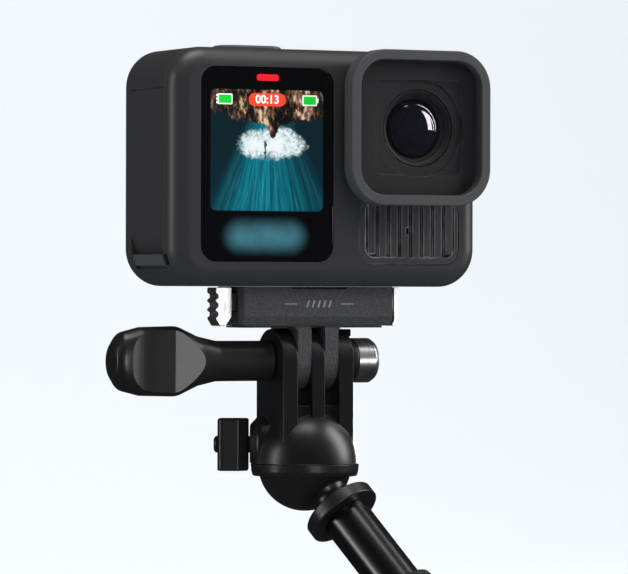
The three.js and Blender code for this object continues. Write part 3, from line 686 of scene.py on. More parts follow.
housingPlastic = mouldedPlastic("housing_plastic", plasticLook((0.024, 0.024, 0.025), 0.42, gloss=0.45))
framePlastic = mouldedPlastic("frame_plastic", plasticLook((0.046, 0.046, 0.048), 0.48, gloss=0.45))
grainPlastic = mouldedPlastic("plate_plastic", plasticLook(
    (0.034, 0.034, 0.036), 0.6, grainScale=2300.0, contrast=1.8, bump=0.9, gloss=0.5, wear=0.5))
# strong painted highlight on the rib edges
ribPlastic = mouldedPlastic("rib_plastic", plasticLook(
    (0.026, 0.026, 0.027), 0.42, contrast=0.6, worn=(0.42, 0.42, 0.43, 1), wear=1.0, wearReach=0.0004))
innerPlastic = mouldedPlastic("inner_plastic", plasticLook((0.014, 0.014, 0.015), 0.5))
hoodPlastic = mouldedPlastic("hood_plastic", plasticLook(
    (0.012, 0.012, 0.013), 0.46, worn=(0.09, 0.09, 0.095, 1), wear=0.6))
satinPlastic = mouldedPlastic("satin_plastic", plasticLook(
    (0.006, 0.006, 0.0065), 0.34, contrast=0.1, bump=0.02, gloss=0.5, worn=(0.2, 0.2, 0.21, 1), wear=0.3))
# painted highlight on the prong edges
prongPlastic = mouldedPlastic("prong_plastic", plasticLook(
    (0.0055, 0.0055, 0.006), 0.34, contrast=0.12, bump=0.03, worn=(0.22, 0.22, 0.23, 1), wear=0.45))
tubeBlack = mouldedPlastic("pole_black", plasticLook(
    (0.0022, 0.0022, 0.0024), 0.24, contrast=0.02, bump=0.0, gloss=0.6, smear=0.02, dust=0.0, wear=0.1))
rubberBlack = mouldedPlastic("rubber_black",
                             plasticLook((0.012, 0.012, 0.012), 0.75, contrast=0.3, bump=0.3, gloss=0.3))
brightSteel = metal("bright_steel", (0.86, 0.86, 0.87), 0.3)
dullSteel = metal("dull_steel", (0.45, 0.45, 0.46), 0.34)
softAlloy = metal("soft_alloy", (0.62, 0.62, 0.63), 0.38, 5000.0)
rearGlass = glossPanel("rear_glass", (0.0025, 0.0025, 0.003))[0]
frontGlass = frontGlassMaterial()
lampRed = glowing("lamp_red", (0.72, 0.005, 0.014), 0.45)
pillRed = glowing("pill_red", (0.72, 0.04, 0.016), 0.5)
signWhite = glowing("sign_white", (0.72, 0.72, 0.70), 0.6)
signGreen = glowing("sign_green", (0.005, 0.42, 0.02), 0.55)
coverGlass = clearGlass("cover_glass", (0.02, 0.02, 0.022), 0.05)
markInk = mouldedPlastic("mark_ink", plasticLook((0.20, 0.20, 0.21), 0.5, contrast=0.2, wear=0.0))
boardGreen = mouldedPlastic("board_green",
                            plasticLook((0.012, 0.07, 0.035), 0.4, grainScale=700.0, contrast=0.7))
cellCase = mouldedPlastic("cell_case", plasticLook((0.03, 0.034, 0.04), 0.45))


def lensMaterial():
    material, tree, shader, where = startMaterial(
        "lens_coated", IOR=1.7, Coat_Weight=1.0, Coat_Roughness=0.01, Coat_IOR=1.6)
    shader.inputs["Specular Tint"].default_value = (0.86, 0.72, 0.95, 1)
    touched = useGroup(tree, handling, Vector=where, Base=(0.004, 0.004, 0.007, 1), Roughness=0.035,
                       Smear=0.01,
                       Dust=0.0)
    wire(tree, touched["Color"], shader.inputs["Base Color"])
    wire(tree, touched["Roughness"], shader.inputs["Roughness"])
    return material


lensCoated = lensMaterial()
print("materials made")


shell = {
    "corner": 8.0, "frontInset": 4.0, "frontDeep": 4.08, "rearRound": 2.6, "wall": 1.6, "seamLip": 0.1,
    "edge": 0.12, "holeGap": 0.06,
}
frontY, rearY = local(frontLow).y, local(rearHigh).y
left, right = local(frontLow).x, local(frontHigh).x
top = local(frontHigh).z
seamFront, seamRear = local(frontHigh).y, local(rearLow).y


def shellRing(inset=0.0):
    return roundRect(left + inset, right - inset, inset, top - inset, shell["corner"] - inset, 16)


def holeFor(node, corner, gap, y0, y1, name="hole"):
    low, high = span(node)
    ring = roundRect(low.x - gap, high.x + gap, low.z - gap, high.z + gap, corner + gap, 12)
    return slab(name, ring, [(0, y0), (0, y1)])


def makeFrontHousing():
    s = shell
    profile = rounded(frontY, seamFront, (s["frontInset"], s["frontDeep"]), s["seamLip"], 14)
    front = slab("frontHousing", shellRing(), profile)
    hollow = slab("hollow", shellRing(s["wall"]), [(0, frontY + s["wall"]), (0, seamFront + 1)])
    window = holeFor("front_window", 3.4, s["holeGap"], frontY - 1, frontY + 4)
    panel = holeFor("ribbed_panel", 3.4, s["holeGap"], frontY - 1, frontY + 4)
    opening = lathe("opening", [(0, -9), (0, 9), (12.4, 9), (12.4, -9)], (lensAt.x, frontY, lensAt.z), yAxis)
    trayLow, trayHigh = span("finger_tray")
    tray = slab("tray", roundRect(trayLow.x - 0.2, trayHigh.x + 0.2, trayLow.y - 0.2, trayHigh.y + 0.2, 2),
                [(0, -1), (0, 5)], "z")
    slot = box("slot", left - 1, left + 1.5, seamFront - 0.9, seamFront + 1, 4.5, 6.75)
    carve(front, hollow, window, panel, opening, tray, slot)
    softEdges(front, s["edge"], 2, 50)
    return place(smoothShade(front, 35), "camera", "housing", housingPlastic, "front_housing")


def doorSpace(grow, name):
    low, high = span("side_door")
    pin = middle("door_hinge_pin")
    space = box(name, left - 1, high.x + grow, low.y - grow, high.y + grow, low.z - grow, pin.z)
    cove = lathe("cove", [(0, low.y - grow), (1.25 + 3 * grow, low.y - grow),
                          (1.25 + 3 * grow, high.y + grow),
                          (0, high.y + grow)], (pin.x, 0, pin.z), yAxis, 48)
    return fuse(space, cove)


def makeRearHousing():
    s = shell
    rear = slab("rearHousing", shellRing(), rounded(seamRear, rearY, s["seamLip"], s["rearRound"], 10))
    hollow = slab("hollow", shellRing(s["wall"]), [(0, seamRear - 1), (0, rearY - s["wall"])])
    window = holeFor("rear_window", 3.4, s["holeGap"], rearY - 4, rearY + 1)
    trayLow, trayHigh = span("finger_tray")
    tray = slab("tray", roundRect(trayLow.x - 0.2, trayHigh.x + 0.2, trayLow.y - 0.2, trayHigh.y + 0.2, 2),
                [(0, -1), (0, 5)], "z")
    button = {"at": middle("shutter_button"), "long": 15.4, "wide": 8.0}
    shutterHole = slab("shutterHole", roundRect(
        button["at"].x - button["long"] / 2 - 0.15, button["at"].x + button["long"] / 2 + 0.15,
        button["at"].y - button["wide"] / 2 - 0.15, button["at"].y + button["wide"] / 2 + 0.15, 4.1, 14),
        [(0, top - 4), (0, top + 1)], "z")
    key = middle("mode_button")
    modeHole = slab("modeHole", roundRect(key.y - 2.9, key.y + 2.9, key.z - 6.15, key.z + 6.15, 2.85, 14),
                    [(0, right - 4), (0, right + 1)], "x")
    micHole = lathe("micHole", [(0, -2), (0.45, -2), (0.45, 1), (0, 1)], (3.5, 2.5, top), zAxis, 24)
    rearMic = lathe("rearMic", [(0, -2), (0.4, -2), (0.4, 1), (0, 1)], (28, rearY, 48), yAxis, 24)
    drains = [box("drain", -30 + 2.4 * i, -29 + 2.4 * i, rearY - 7, rearY - 4.6, -1, 1) for i in range(4)]
    speaker = [box("speaker", right - 1, right + 1, 6.6 + 1.6 * i, 7.4 + 1.6 * i, 8, 16) for i in range(3)]
    slot = box("slot", left - 1, left + 1.5, seamRear - 1, seamRear + 0.75, 4.5, 6.75)
    carve(rear, hollow, window, tray, shutterHole, modeHole, micHole, rearMic, slot, *drains, *speaker,
          doorSpace(0.05, "doorHole"))
    softEdges(rear, s["edge"], 2, 50)
    return place(smoothShade(rear, 35), "camera", "housing", housingPlastic, "rear_housing")


def makeDoor():
    low, high = span("side_door")
    latchLow, latchHigh = span("door_latch")
    door = slab("sideDoor", shellRing(), [(0, low.y), (0, high.y)])
    keepInside(door, doorSpace(0.0, "doorBody"))
    recess = loft("recess", [
        [(left - 1, y, latchHigh.z + 0.05), (left + 1.3, y, latchHigh.z + 0.05),
         (left + 1.0, y, latchHigh.z + 1.2),
         (left - 0.1, y, latchHigh.z + 4.4), (left - 1, y, latchHigh.z + 4.4)]
        for y in (low.y + 0.2, high.y - 0.35)
    ])
    pocket = box("pocket", left - 1, latchHigh.x + 0.1, latchLow.y - 0.08, latchHigh.y + 0.08,
                 latchLow.z - 0.75,
                 latchHigh.z + 0.1)
    pinAt = middle("door_hinge_pin")
    pinHole = lathe("pinHole", [(0, -12), (0.5, -12), (0.5, 12), (0, 12)], (pinAt.x, 0, pinAt.z), yAxis, 24)
    carve(door, recess, pocket, pinHole)
    softEdges(door, 0.1, 2, 40)
    place(smoothShade(door, 35), "door", "housing", housingPlastic, "side_door")

    latch = slab("doorLatch", shellRing(0.02), [(0, latchLow.y), (0, latchHigh.y)])
    keepInside(latch, box("latchSpace", left - 1, latchHigh.x, latchLow.y, latchHigh.y, latchLow.z,
                          latchHigh.z))
    softEdges(latch, 0.1, 2, 40)
    return place(smoothShade(latch, 35), "latch", "frame", framePlastic, "door_latch")


def makeFrontFace():
    low, high = span("front_window")
    glass = slab("frontWindow", roundRect(low.x, high.x, low.z, high.z, 3.4, 14),
                 rounded(low.y + 0.03, high.y, 0.22, 0.05, 4))
    place(smoothShade(glass, 45), "camera", "gloss", frontGlass, "front_window")

    lampLow, lampHigh = span("record_lamp")
    lamp = slab("recordLamp", roundRect(lampLow.x, lampHigh.x, lampLow.z, lampHigh.z, 0.55, 8),
                rounded(low.y - 0.02, lampLow.y + 0.8, 0.03, 0.03, 2))
    place(smoothShade(lamp, 45), "camera", "lamp", lampRed, "record_lamp")

    panel = {"rim": 1.7, "rimRight": 1.1, "rimLow": 1.6, "deep": 0.8, "ribs": 8, "ribWide": 1.85}
    low, high = span("ribbed_panel")
    base = slab("ribbedPanel", roundRect(low.x, high.x, low.z, high.z, 3.4, 12),
                rounded(low.y + 0.04, high.y, 0.25, 0.05, 4))
    fieldEnd = high.x - panel["rimRight"]
    field = roundRect(low.x + panel["rim"], fieldEnd, low.z + panel["rimLow"], high.z - 0.5, 2.0, 10)
    carve(base, slab("field", field, [(0, low.y - 1), (0, low.y + panel["deep"])]))
    pitch = (fieldEnd - low.x - panel["rim"]) / panel["ribs"]
    for i in range(panel["ribs"]):
        x = low.x + panel["rim"] + pitch * (i + 0.55)
        footZ = low.z + panel["rimLow"] + (0.7 if i in (0, panel["ribs"] - 1) else 0.0)
        rib = slab("rib", roundRect(x - panel["ribWide"] / 2, x + panel["ribWide"] / 2, footZ, high.z - 0.6,
                                    0.18, 3),
                   rounded(low.y + 0.02, low.y + panel["deep"] + 0.3, (0.22, 0.2), 0.01, 3))
        fuse(base, rib)
    mic = middle("microphone")
    hole = slab("micSlot", roundRect(mic.x - 0.55, mic.x + 0.55, mic.z - 0.8, mic.z + 0.8, 0.5, 8),
                [(0, low.y - 1), (0, high.y + 1)])
    carve(base, hole)
    return place(smoothShade(base, 35), "camera", "frame", ribPlastic, "ribbed_panel")


def makeSigns():  # the plain signs on the film: a card, the time and a battery
    screenLow, screenHigh = span("front_display")
    wide, tall = screenHigh.x - screenLow.x, screenHigh.z - screenLow.z
    y = frontY - 0.01
    signs = {"up": 0.916, "card": 0.128, "battery": 0.877, "pill": 0.5, "pillWide": 8.6, "pillTall": 2.75}
    level = screenLow.z + tall * signs["up"]

    def plate(name, ring, front, material, slotName):
        sign = slab(name, ring, [(0, y - front), (0, y + 0.1)])
        return place(sign, "camera", slotName, material)

    pillX = screenLow.x + wide * signs["pill"]
    plate("timePill", roundRect(pillX - signs["pillWide"] / 2, pillX + signs["pillWide"] / 2,
                                level - signs["pillTall"] / 2, level + signs["pillTall"] / 2, 1.39, 12),
          0.0, pillRed, "screen")
    for name, part in (("cardSign", signs["card"]), ("batterySign", signs["battery"])):
        x = screenLow.x + wide * part
        halfWide, halfTall = 1.7, 1.12
        plate(name + "Rim", roundRect(x - halfWide, x + halfWide, level - halfTall, level + halfTall, 0.25,
                                      4),
              0.0, signWhite, "screen")
        plate(name, roundRect(x - halfWide + 0.25, x + halfWide - 0.25, level - halfTall + 0.25,
                              level + halfTall - 0.25, 0.1, 3), 0.02, signGreen, "screen")
        nubX = x - halfWide if name == "cardSign" else x + halfWide
        nubs = (-0.75, 0.0, 0.75) if name == "cardSign" else (0.0,)
        for i, rise in enumerate(nubs):
            tallNub = 0.22 if name == "cardSign" else 0.5
            plate(f"{name}Nub{i}", roundRect(nubX - 0.32, nubX + 0.32, level + rise - tallNub,
                                             level + rise + tallNub,
                                             0.08, 2), -0.01, signWhite, "screen")

    words = bpy.data.curves.new("timeDigits", "FONT")
    words.body = "00:13"
    words.align_x, words.align_y = "CENTER", "CENTER"
    words.size = 2.5 * mm
    words.offset = 0.045 * mm
    words.extrude = 0.02 * mm
    digits = bpy.data.objects.new("timeDigits", words)
    digits.matrix_world = Matrix.Translation(home + Vector((pillX, y - 0.02, level)) * mm) @ Matrix.Rotation(
        pi / 2, 4, "X")
    bpy.context.scene.collection.objects.link(digits)
    bpy.context.view_layer.update()
    mesh = bpy.data.meshes.new_from_object(digits)
    mesh.transform(digits.matrix_world)
    bpy.data.objects.remove(digits)
    digits = bpy.data.objects.new("timeDigits", mesh)
    bpy.context.scene.collection.objects.link(digits)
    return place(digits, "camera", "screen", signWhite)


def makeRearFace():
    low, high = span("rear_window")
    glass = slab("rearWindow", roundRect(low.x, high.x, low.z, high.z, 3.4, 14),
                 rounded(low.y, high.y - 0.03, 0.05, 0.25, 4))
    place(smoothShade(glass, 45), "camera", "gloss", rearGlass, "rear_window")
    lamp = lathe("rearLamp", roundedRod(0.6, -0.6, 0.0, 0.15, 3), (-28.5, rearY + 0.02, 47.6), yAxis, 32)
    return place(smoothShade(lamp), "camera", "lamp", lampRed)


makeFrontHousing()
makeRearHousing()
makeDoor()
makeFrontFace()
makeSigns()
makeRearFace()
print("housing made")


def makeLens():
    coverLow, coverHigh = span("lens_cover_frame")
    coverAt = middle("lens_cover_frame")
    cover = {"corner": 8.0, "edge": 0.24, "opening": 14.3, "innerCorner": 5.6, "squareHalf": 10.0,
             "squareDeep": 0.34, "roundStep": 10.4, "roundDeep": 0.26, "bore": 8.3}
    half = (coverHigh.x - coverLow.x) / 2
    x, z = lensAt.x, lensAt.z
    coverFrame = slab("lensCoverFrame", squareAbout(coverAt.x, z, half, cover["corner"], 18),
                  rounded(coverLow.y, coverHigh.y, (cover["edge"], 0.3), (0.5, 0.6), 6))
    mouth = slab("mouth", squareAbout(coverAt.x, z, cover["opening"], cover["innerCorner"], 16),
                 [(-0.3, coverLow.y - 0.1), (-0.12, coverLow.y + 0.1), (0, coverLow.y + 0.32),
                  (0, coverHigh.y + 1)])
    carve(coverFrame, mouth)
    place(smoothShade(coverFrame, 40), "lens_cover", "frame", framePlastic, "lens_cover_frame")

    glassLow = span("lens_cover_glass")[0]
    glass = slab("lensCoverGlass", squareAbout(coverAt.x, z, cover["opening"] - 0.05,
                                               cover["innerCorner"] - 0.05, 16),
                 rounded(glassLow.y, glassLow.y + 0.8, 0.1, 0.1, 2))
    place(smoothShade(glass, 40), "lens_cover", "optic", coverGlass, "lens_cover_glass")

    hoodLow, hoodHigh = span("lens_hood")
    hood = slab("lensHood", squareAbout(coverAt.x, z, cover["opening"] - 0.02, cover["innerCorner"], 16),
                [(0, hoodLow.y), (0, hoodHigh.y - 0.3)])
    square = slab("square", squareAbout(x, z, cover["squareHalf"], 1.3, 8),
                  [(0, hoodLow.y - 1), (0, hoodLow.y + cover["squareDeep"])])
    deep = hoodLow.y + cover["squareDeep"] + cover["roundDeep"]
    roundStep = lathe("roundStep", [(0, -30), (cover["roundStep"], -30), (cover["roundStep"], deep),
                                    (0, deep)],
                      (x, 0, z), yAxis)
    bore = lathe("bore", [(0, -30), (cover["bore"], -30), (cover["bore"], 0), (0, 0)], (x, 0, z), yAxis)
    carve(hood, square, roundStep, bore)
    softEdges(hood, 0.1, 2, 40)
    place(smoothShade(hood, 35), "lens_cover", "frame", hoodPlastic, "lens_hood")

    ringLow, ringHigh = span("lens_ring")
    ring = lathe("lensRing", rounder([
        (6.0, ringHigh.y, 0), (8.1, ringHigh.y, 0), (8.1, ringLow.y + 0.02, 0.2),
        (7.75, ringLow.y + 0.02, 0.15),
        (7.55, ringLow.y + 0.5, 0.1), (7.1, ringLow.y + 1.0, 0.15), (6.9, ringLow.y + 1.6, 0.1),
        (6.45, ringLow.y + 1.9, 0.1), (6.2, ringLow.y + 2.6, 0),
    ], 4), (x, 0, z), yAxis)
    place(smoothShade(ring, 35), "camera", "inner", innerPlastic, "lens_ring")

    domeLow, domeHigh = span("front_lens")
    dome = lathe("frontLens", lensProfile(domeLow.y, domeHigh.y), (x, 0, z), yAxis, 128)
    place(smoothShade(dome, 50), "camera", "optic", lensCoated, "front_lens")

    neckLow = span("lens_neck")[0]
    neck = slab("lensNeck", squareAbout(coverAt.x - 0.3, z, 14.9, 6.8, 16), [
        (0.3, neckLow.y), (0.0, neckLow.y + 0.3), (0.0, frontY - 1.1), (-0.12, frontY - 0.6),
        (-0.45, frontY - 0.2),
        (-1.0, frontY), (-1.0, frontY + 2.2),
    ])
    bore = lathe("bore", [(0, -30), (11.5, -30), (11.5, 0), (0, 0)], (x, 0, z), yAxis)
    keepInside(neck, slab("shellInside", shellRing(0.25),
                          rounded(neckLow.y - 1, seamFront, (3.0, 8.5), 0.1, 14)))
    carve(neck, bore)
    return place(smoothShade(neck, 35), "camera", "housing", housingPlastic, "lens_neck")


def lensProfile(frontMost, back):  # a steep outer belt, then the shallower crown inside it
    belt = {"outer": 6.05, "inner": 4.3, "crown": 1.0}
    width = belt["outer"] - belt["inner"]
    crownR = (belt["inner"] ** 2 + belt["crown"] ** 2) / (2 * belt["crown"])
    points = []
    for i in range(13):
        radius = belt["inner"] * i / 12
        points.append((radius, frontMost + crownR - sqrt(crownR ** 2 - radius ** 2)))
    shoulder = frontMost + belt["crown"]
    for i in range(1, 15):
        angle = pi / 2 * i / 14
        points.append((belt["inner"] + width * sin(angle),
                       shoulder + (back - shoulder - 0.3) * (1 - cos(angle)) * 0.8))
    return points + [(belt["outer"], back), (0, back)]


def makeButtons():
    low, high = span("shutter_button")
    at = middle("shutter_button")
    cap = slab("shutterButton", roundRect(at.x - 7.7, at.x + 7.7, at.y - 4, at.y + 4, 3.99, 16),
               rounded(low.z, high.z, 0.1, (1.3, 0.55), 6), "z")
    place(smoothShade(cap, 40), "shutter", "frame", framePlastic, "shutter_button")

    low, high = span("mode_button")
    at = middle("mode_button")
    key = slab("modeButton", roundRect(at.y - 2.75, at.y + 2.75, at.z - 6, at.z + 6, 2.74, 16),
               rounded(low.x, high.x, 0.1, (0.8, 0.4), 6), "x")
    return place(smoothShade(key, 40), "mode", "frame", framePlastic, "mode_button")


makeLens()
makeButtons()
print("lens and buttons made")


def makePlate():
    low, high = span("quick_release_plate")
    plate = {"barLow": -8.35, "bevel": 2.0, "fillet": 1.5, "fingerIn": 1.65, "fingerOut": 4.75,
             "fingerRadius": 6.5}
    x0, x1, zTop = low.x, high.x, high.z + 0.1
    bar, fin, fout = plate["barLow"], plate["fingerIn"], plate["fingerOut"]
    face = rounder([
        (x0, zTop, 0.1), (x1, zTop, 0.1), (x1, bar, 0.9), (fout, bar, plate["fillet"]),
        (fout, low.z - 1, 0), (fin, low.z - 1, 0),
        (fin, bar, 0.25), (-fin, bar, 0.25), (-fin, low.z - 1, 0), (-fout, low.z - 1, 0),
        (-fout, bar, plate["fillet"]), (x0, bar, 0.9),
    ], 5)
    body = slab("quickPlate", fixedRing(face), [(0, low.y - 1), (0, high.y + 1)])
    y0, y1 = low.y, high.y
    sidePoints = rounder([
        (y1, zTop, 0.1), (y0, zTop, 0.1), (y0, bar + plate["bevel"], 0.5), (y0 + 1.1, bar, 0),
        (hingeAt.y - plate["fingerRadius"], bar - 0.4, 0), (hingeAt.y - plate["fingerRadius"], hingeAt.z, 0),
    ], 4)
    sidePoints += arcPoints(hingeAt.y, hingeAt.z, plate["fingerRadius"], 180, 360, 32)[1:]
    sidePoints += [(hingeAt.y + plate["fingerRadius"], bar - 0.4), (y1 - 1.1, bar),
                   (y1, bar + plate["bevel"])]
    side = slab("side", fixedRing(sidePoints), [(0, x0 - 1), (0, x1 + 1)], "x")
    keepInside(body, side)
    bolt = lathe("boltHole", [(0, -9), (2.6, -9), (2.6, 9), (0, 9)], hingeAt, xAxis, 48)
    slots = [box("slot", a, b, -5.2, -0.9, -5.4, -1.3) for a, b in ((x0 - 1, -9), (9, x1 + 1))]
    magnet = lathe("well", [(0, -3.2), (4.25, -3.2), (4.25, 1), (0, 1)], (0, hingeAt.y, 0), zAxis, 64)
    nick = box("nick", -6.4, 6.6, y0 - 1, y0 + 0.7, zTop - 0.55, zTop + 1)
    carve(body, bolt, magnet, nick, *slots)
    softEdges(body, 0.16, 3, 38)
    place(smoothShade(body, 35), "plate", "grain", grainPlastic, "quick_release_plate")

    foot = slab("plateFoot", roundRect(x0 + 0.8, x1 - 0.8, y0 + 2.4, y1 - 1.6, 1.2, 6),
                rounded(bar - 0.42, bar - 0.04, 0.12, 0.12, 2), "z")
    place(smoothShade(foot), "plate", "grain", grainPlastic)

    mark = {"up": -3.7, "dashNear": 5.2, "dashLong": 2.9, "tickTall": 0.75}
    z = mark["up"]
    for hand in (-1, 1):
        a, b = sorted((hand * mark["dashNear"], hand * (mark["dashNear"] + mark["dashLong"])))
        dash = slab(f"plateDash{'Left' if hand < 0 else 'Right'}",
                    roundRect(a, b, z - 0.11, z + 0.11, 0.1, 3),
                    [(0, y0 - 0.012), (0, y0 + 0.1)])
        place(dash, "plate", "steel", markInk)
    for i, at in enumerate((-2.6, -1.3, 0, 1.3, 2.6)):  # a plain row of slanted ticks in place of lettering
        tick = slab(f"plateTick{i}", fixedRing([(at - 0.45, z - mark["tickTall"]),
                                                (at - 0.05, z - mark["tickTall"]),
                                                (at + 0.45, z + mark["tickTall"]),
                                                (at + 0.05, z + mark["tickTall"])]),
                    [(0, y0 - 0.012), (0, y0 + 0.1)])
        place(tick, "plate", "steel", markInk)

    magnetLow, magnetHigh = span("plate_magnet")
    disc = lathe("plateMagnet", roundedRod(4.1, magnetLow.z, magnetHigh.z, 0.25), (0, hingeAt.y, 0), zAxis,
                 64)
    return place(smoothShade(disc), "plate", "steel", dullSteel, "plate_magnet")


def makeClips():
    low, high = span("release_button")
    bodyRight = low.x + 3.7
    ridge = [(low.x, high.z - 0.1, 0.25), (bodyRight, high.z - 0.1, 0.2), (bodyRight, low.z + 1.9, 0.3),
             (bodyRight - 1.5, low.z, 0.4), (low.x + 1.0, low.z, 0.4), (low.x + 0.15, low.z + 1.3, 0.3)]
    for z in (-5.9, -4.0, -2.1):
        ridge += [(low.x, z - 0.75, 0.12), (low.x + 0.55, z - 0.35, 0.12), (low.x + 0.55, z + 0.35, 0.12),
                  (low.x, z + 0.75, 0.12)]
    button = slab("releaseButton", fixedRing(rounder(ridge, 3)), [(0, low.y), (0, high.y)])
    tongue = box("tongue", bodyRight - 0.5, -13, low.y + 0.4, high.y - 0.2, -5.2, -1.5)
    fuse(button, tongue)
    softEdges(button, 0.16, 2, 40)
    place(smoothShade(button, 35), "release", "steel", brightSteel, "release_button")

    low, high = span("latch_claw")
    face = rounder([(high.x - 1.1, high.z, 0.1), (high.x, high.z, 0.2), (high.x, low.z + 1.1, 0.4),
                    (high.x - 0.5, low.z, 0.2), (high.x - 1.6, low.z, 0.2),
                    (high.x - 1.1, low.z + 1.2, 0.3)], 4)
    claw = slab("latchClaw", fixedRing(face), [(0, low.y), (0, high.y)])
    fuse(claw, box("tongue", 13, high.x - 0.6, low.y + 0.4, high.y - 0.2, -5.2, -1.5))
    softEdges(claw, 0.12, 2, 40)
    place(smoothShade(claw, 35), "claw", "steel", brightSteel, "latch_claw")

    spring = {"radius": 1.15, "wire": 0.22, "turns": 4.0}
    for node in ("release_spring", "claw_spring"):
        low, high = span(node)
        at = middle(node)
        count = 96
        reach = high.x - low.x - 2 * spring["wire"]
        loops = []
        for i in range(count + 1):
            angle = 2 * pi * spring["turns"] * i / count
            outward = Vector((0, cos(angle), sin(angle)))
            centre = Vector((low.x + spring["wire"] + reach * i / count, at.y,
                             at.z)) + outward * spring["radius"]
            loops.append([tuple(centre + (outward * cos(b) + xAxis * sin(b)) * spring["wire"])
                          for b in [2 * pi * k / 8 for k in range(8)]])
        coil = loft(node.replace("_s", "S"), loops)
        place(smoothShade(coil, 60), "plate", "steel", dullSteel, node)


makePlate()
makeClips()
print("quick-release plate made")


def makeYoke():
    low, high = span("ball_yoke")
    yoke = {"radius": 6.8, "shell": 11.6, "tall": 1.075, "socket": 10.3, "boss": 6.2, "inner": 1.53,
            "outer": 4.87,
            "side": 8.3, "foot": -34.0, "edge": 0.24}
    pieces = []
    for x0, x1 in ((-yoke["side"], -yoke["outer"]), (-yoke["inner"], yoke["inner"]),
                   (yoke["outer"], yoke["side"])):
        def prongRing(inset):
            r = yoke["radius"] - inset
            return [(hingeAt.y - r, yoke["foot"]), (hingeAt.y + r, yoke["foot"])] + arcPoints(
                hingeAt.y, hingeAt.z, r, 0, 180, 40)
        pieces.append(slab("prong", prongRing, rounded(x0, x1, yoke["edge"], yoke["edge"], 3), "x"))
    web = slab("web", roundRect(-yoke["side"] + 0.4, yoke["side"] - 0.4, hingeAt.y - 5.6, hingeAt.y + 5.6,
                                1.0, 6),
               [(0, yoke["foot"]), (0, -25.4)], "z")
    crown = [(r, d * yoke["tall"]) for r, d in sphereArc(yoke["shell"], 0, 89, 44)]
    dome = lathe("dome", crown + [(0, crown[-1][1])], ballAt, zAxis, 128)
    boss = lathe("boss", rounder([(0, 4, 0), (yoke["boss"], 4, 0), (yoke["boss"], 9.9, 1.6),
                                  (4.2, 11.75, 0.8),
                                  (0, 11.75, 0)], 8), knobAt, knobAxis, 64)
    guard = lathe("guard", roundedTube(yoke["radius"], 5.2, yoke["side"] - 1, 11.4, 0.3), hingeAt, xAxis, 96)
    carve(guard, box("half", yoke["side"], 20, -20, hingeAt.y + 1, -40, 0))
    body = pieces[0]
    fuse(body, pieces[1], pieces[2], web, dome, boss, guard)
    body.name = "ballYoke"
    below = box("below", -30, 30, -30, 30, -80, ballAt.z + 0.3)
    cavity = lathe("cavity", sphereArc(yoke["socket"], 0, 100, 30) + [(0, -3)], ballAt, zAxis, 96)
    bolt = lathe("bolt", [(0, -12), (2.6, -12), (2.6, 12), (0, 12)], hingeAt, xAxis, 48)
    screw = lathe("screw", [(0, 5), (2.4, 5), (2.4, 14), (0, 14)], knobAt, knobAxis, 48)
    carve(body, below, cavity, bolt, screw)
    place(smoothShade(body, 30), "ball_head", "satin", prongPlastic, "ball_yoke")

    ringLow, ringHigh = span("socket_ring")
    down, up = ringLow.z - ballAt.z, ringHigh.z - ballAt.z
    inner = [(sqrt(10.15 ** 2 - d ** 2), d) for d in [up + (down - up) * i / 8 for i in range(9)]]
    outer = rounder([(10.2, down, 0), (11.15, down, 0.35), (11.45, down + 1.0, 0.8), (11.6, up, 0.12),
                     (10.3, up, 0)], 5)
    ring = lathe("socketRing", inner + outer[1:-1], ballAt, zAxis, 128)
    return place(smoothShade(ring, 30), "ball_ring", "satin", satinPlastic, "socket_ring")


def alongKnob(a, b, z):  # a outwards along the knob's axis, b across it
    across = zAxis.cross(knobAxis)
    return Vector((knobAt.x, knobAt.y, 0)) + knobAxis * a + across * b + zAxis * z


def makeClamp():
    knob = {"start": 12.05, "end": 18.65, "half": 4.1, "low": -39.4, "high": -28.25, "slant": 2.1,
            "corner": 0.5}
    start, end, half = knob["start"], knob["end"], knob["half"]

    def plan(inset):
        return rounder([
            (start + inset, -half + inset, 0.6), (end - inset, -half + inset, 1.2),
            (end - inset, half - inset, 1.2),
            (start + knob["slant"], half - inset, knob["corner"]),
            (start + inset, half - knob["slant"], knob["corner"]),
        ], 6)

    loops = [[tuple(alongKnob(a, b, z)) for a, b in plan(inset)]
             for inset, z in rounded(knob["low"], knob["high"], 0.4, (0.5, 0.4), 4)]
    lump = loft("clampKnob", loops)
    well = roundRect(knob["start"] + 1.2, knob["start"] + 2.9, -2.9, 1.6, 0.8, 6)
    carve(lump, loft("slot", [[tuple(alongKnob(a, b, z)) for a, b in well(0)] for z in (knob["high"] - 4,
        knob["high"] + 1)]))
    carve(lump, lathe("bore", [(0, 8), (1.95, 8), (1.95, 20), (0, 20)], knobAt, knobAxis, 48))
    softEdges(lump, 0.18, 2, 45)
    place(smoothShade(lump, 35), "clamp", "satin", satinPlastic, "clamp_knob")
    head = rounder([(0, 11, 0), (1.8, 11, 0), (1.8, 18.3, 0), (1.8, 19.1, 0.5), (1.2, 19.5, 0.5),
                    (0, 19.55, 0)], 6)
    screw = lathe("clampScrew", head, knobAt, knobAxis, 48)
    socket = lathe("hex", [(0, 18.8), (0.85, 18.8), (0.85, 21), (0, 21)], knobAt, knobAxis, 6)
    carve(screw, socket)
    return place(smoothShade(screw, 35), "clamp", "steel", satinPlastic, "clamp_screw")


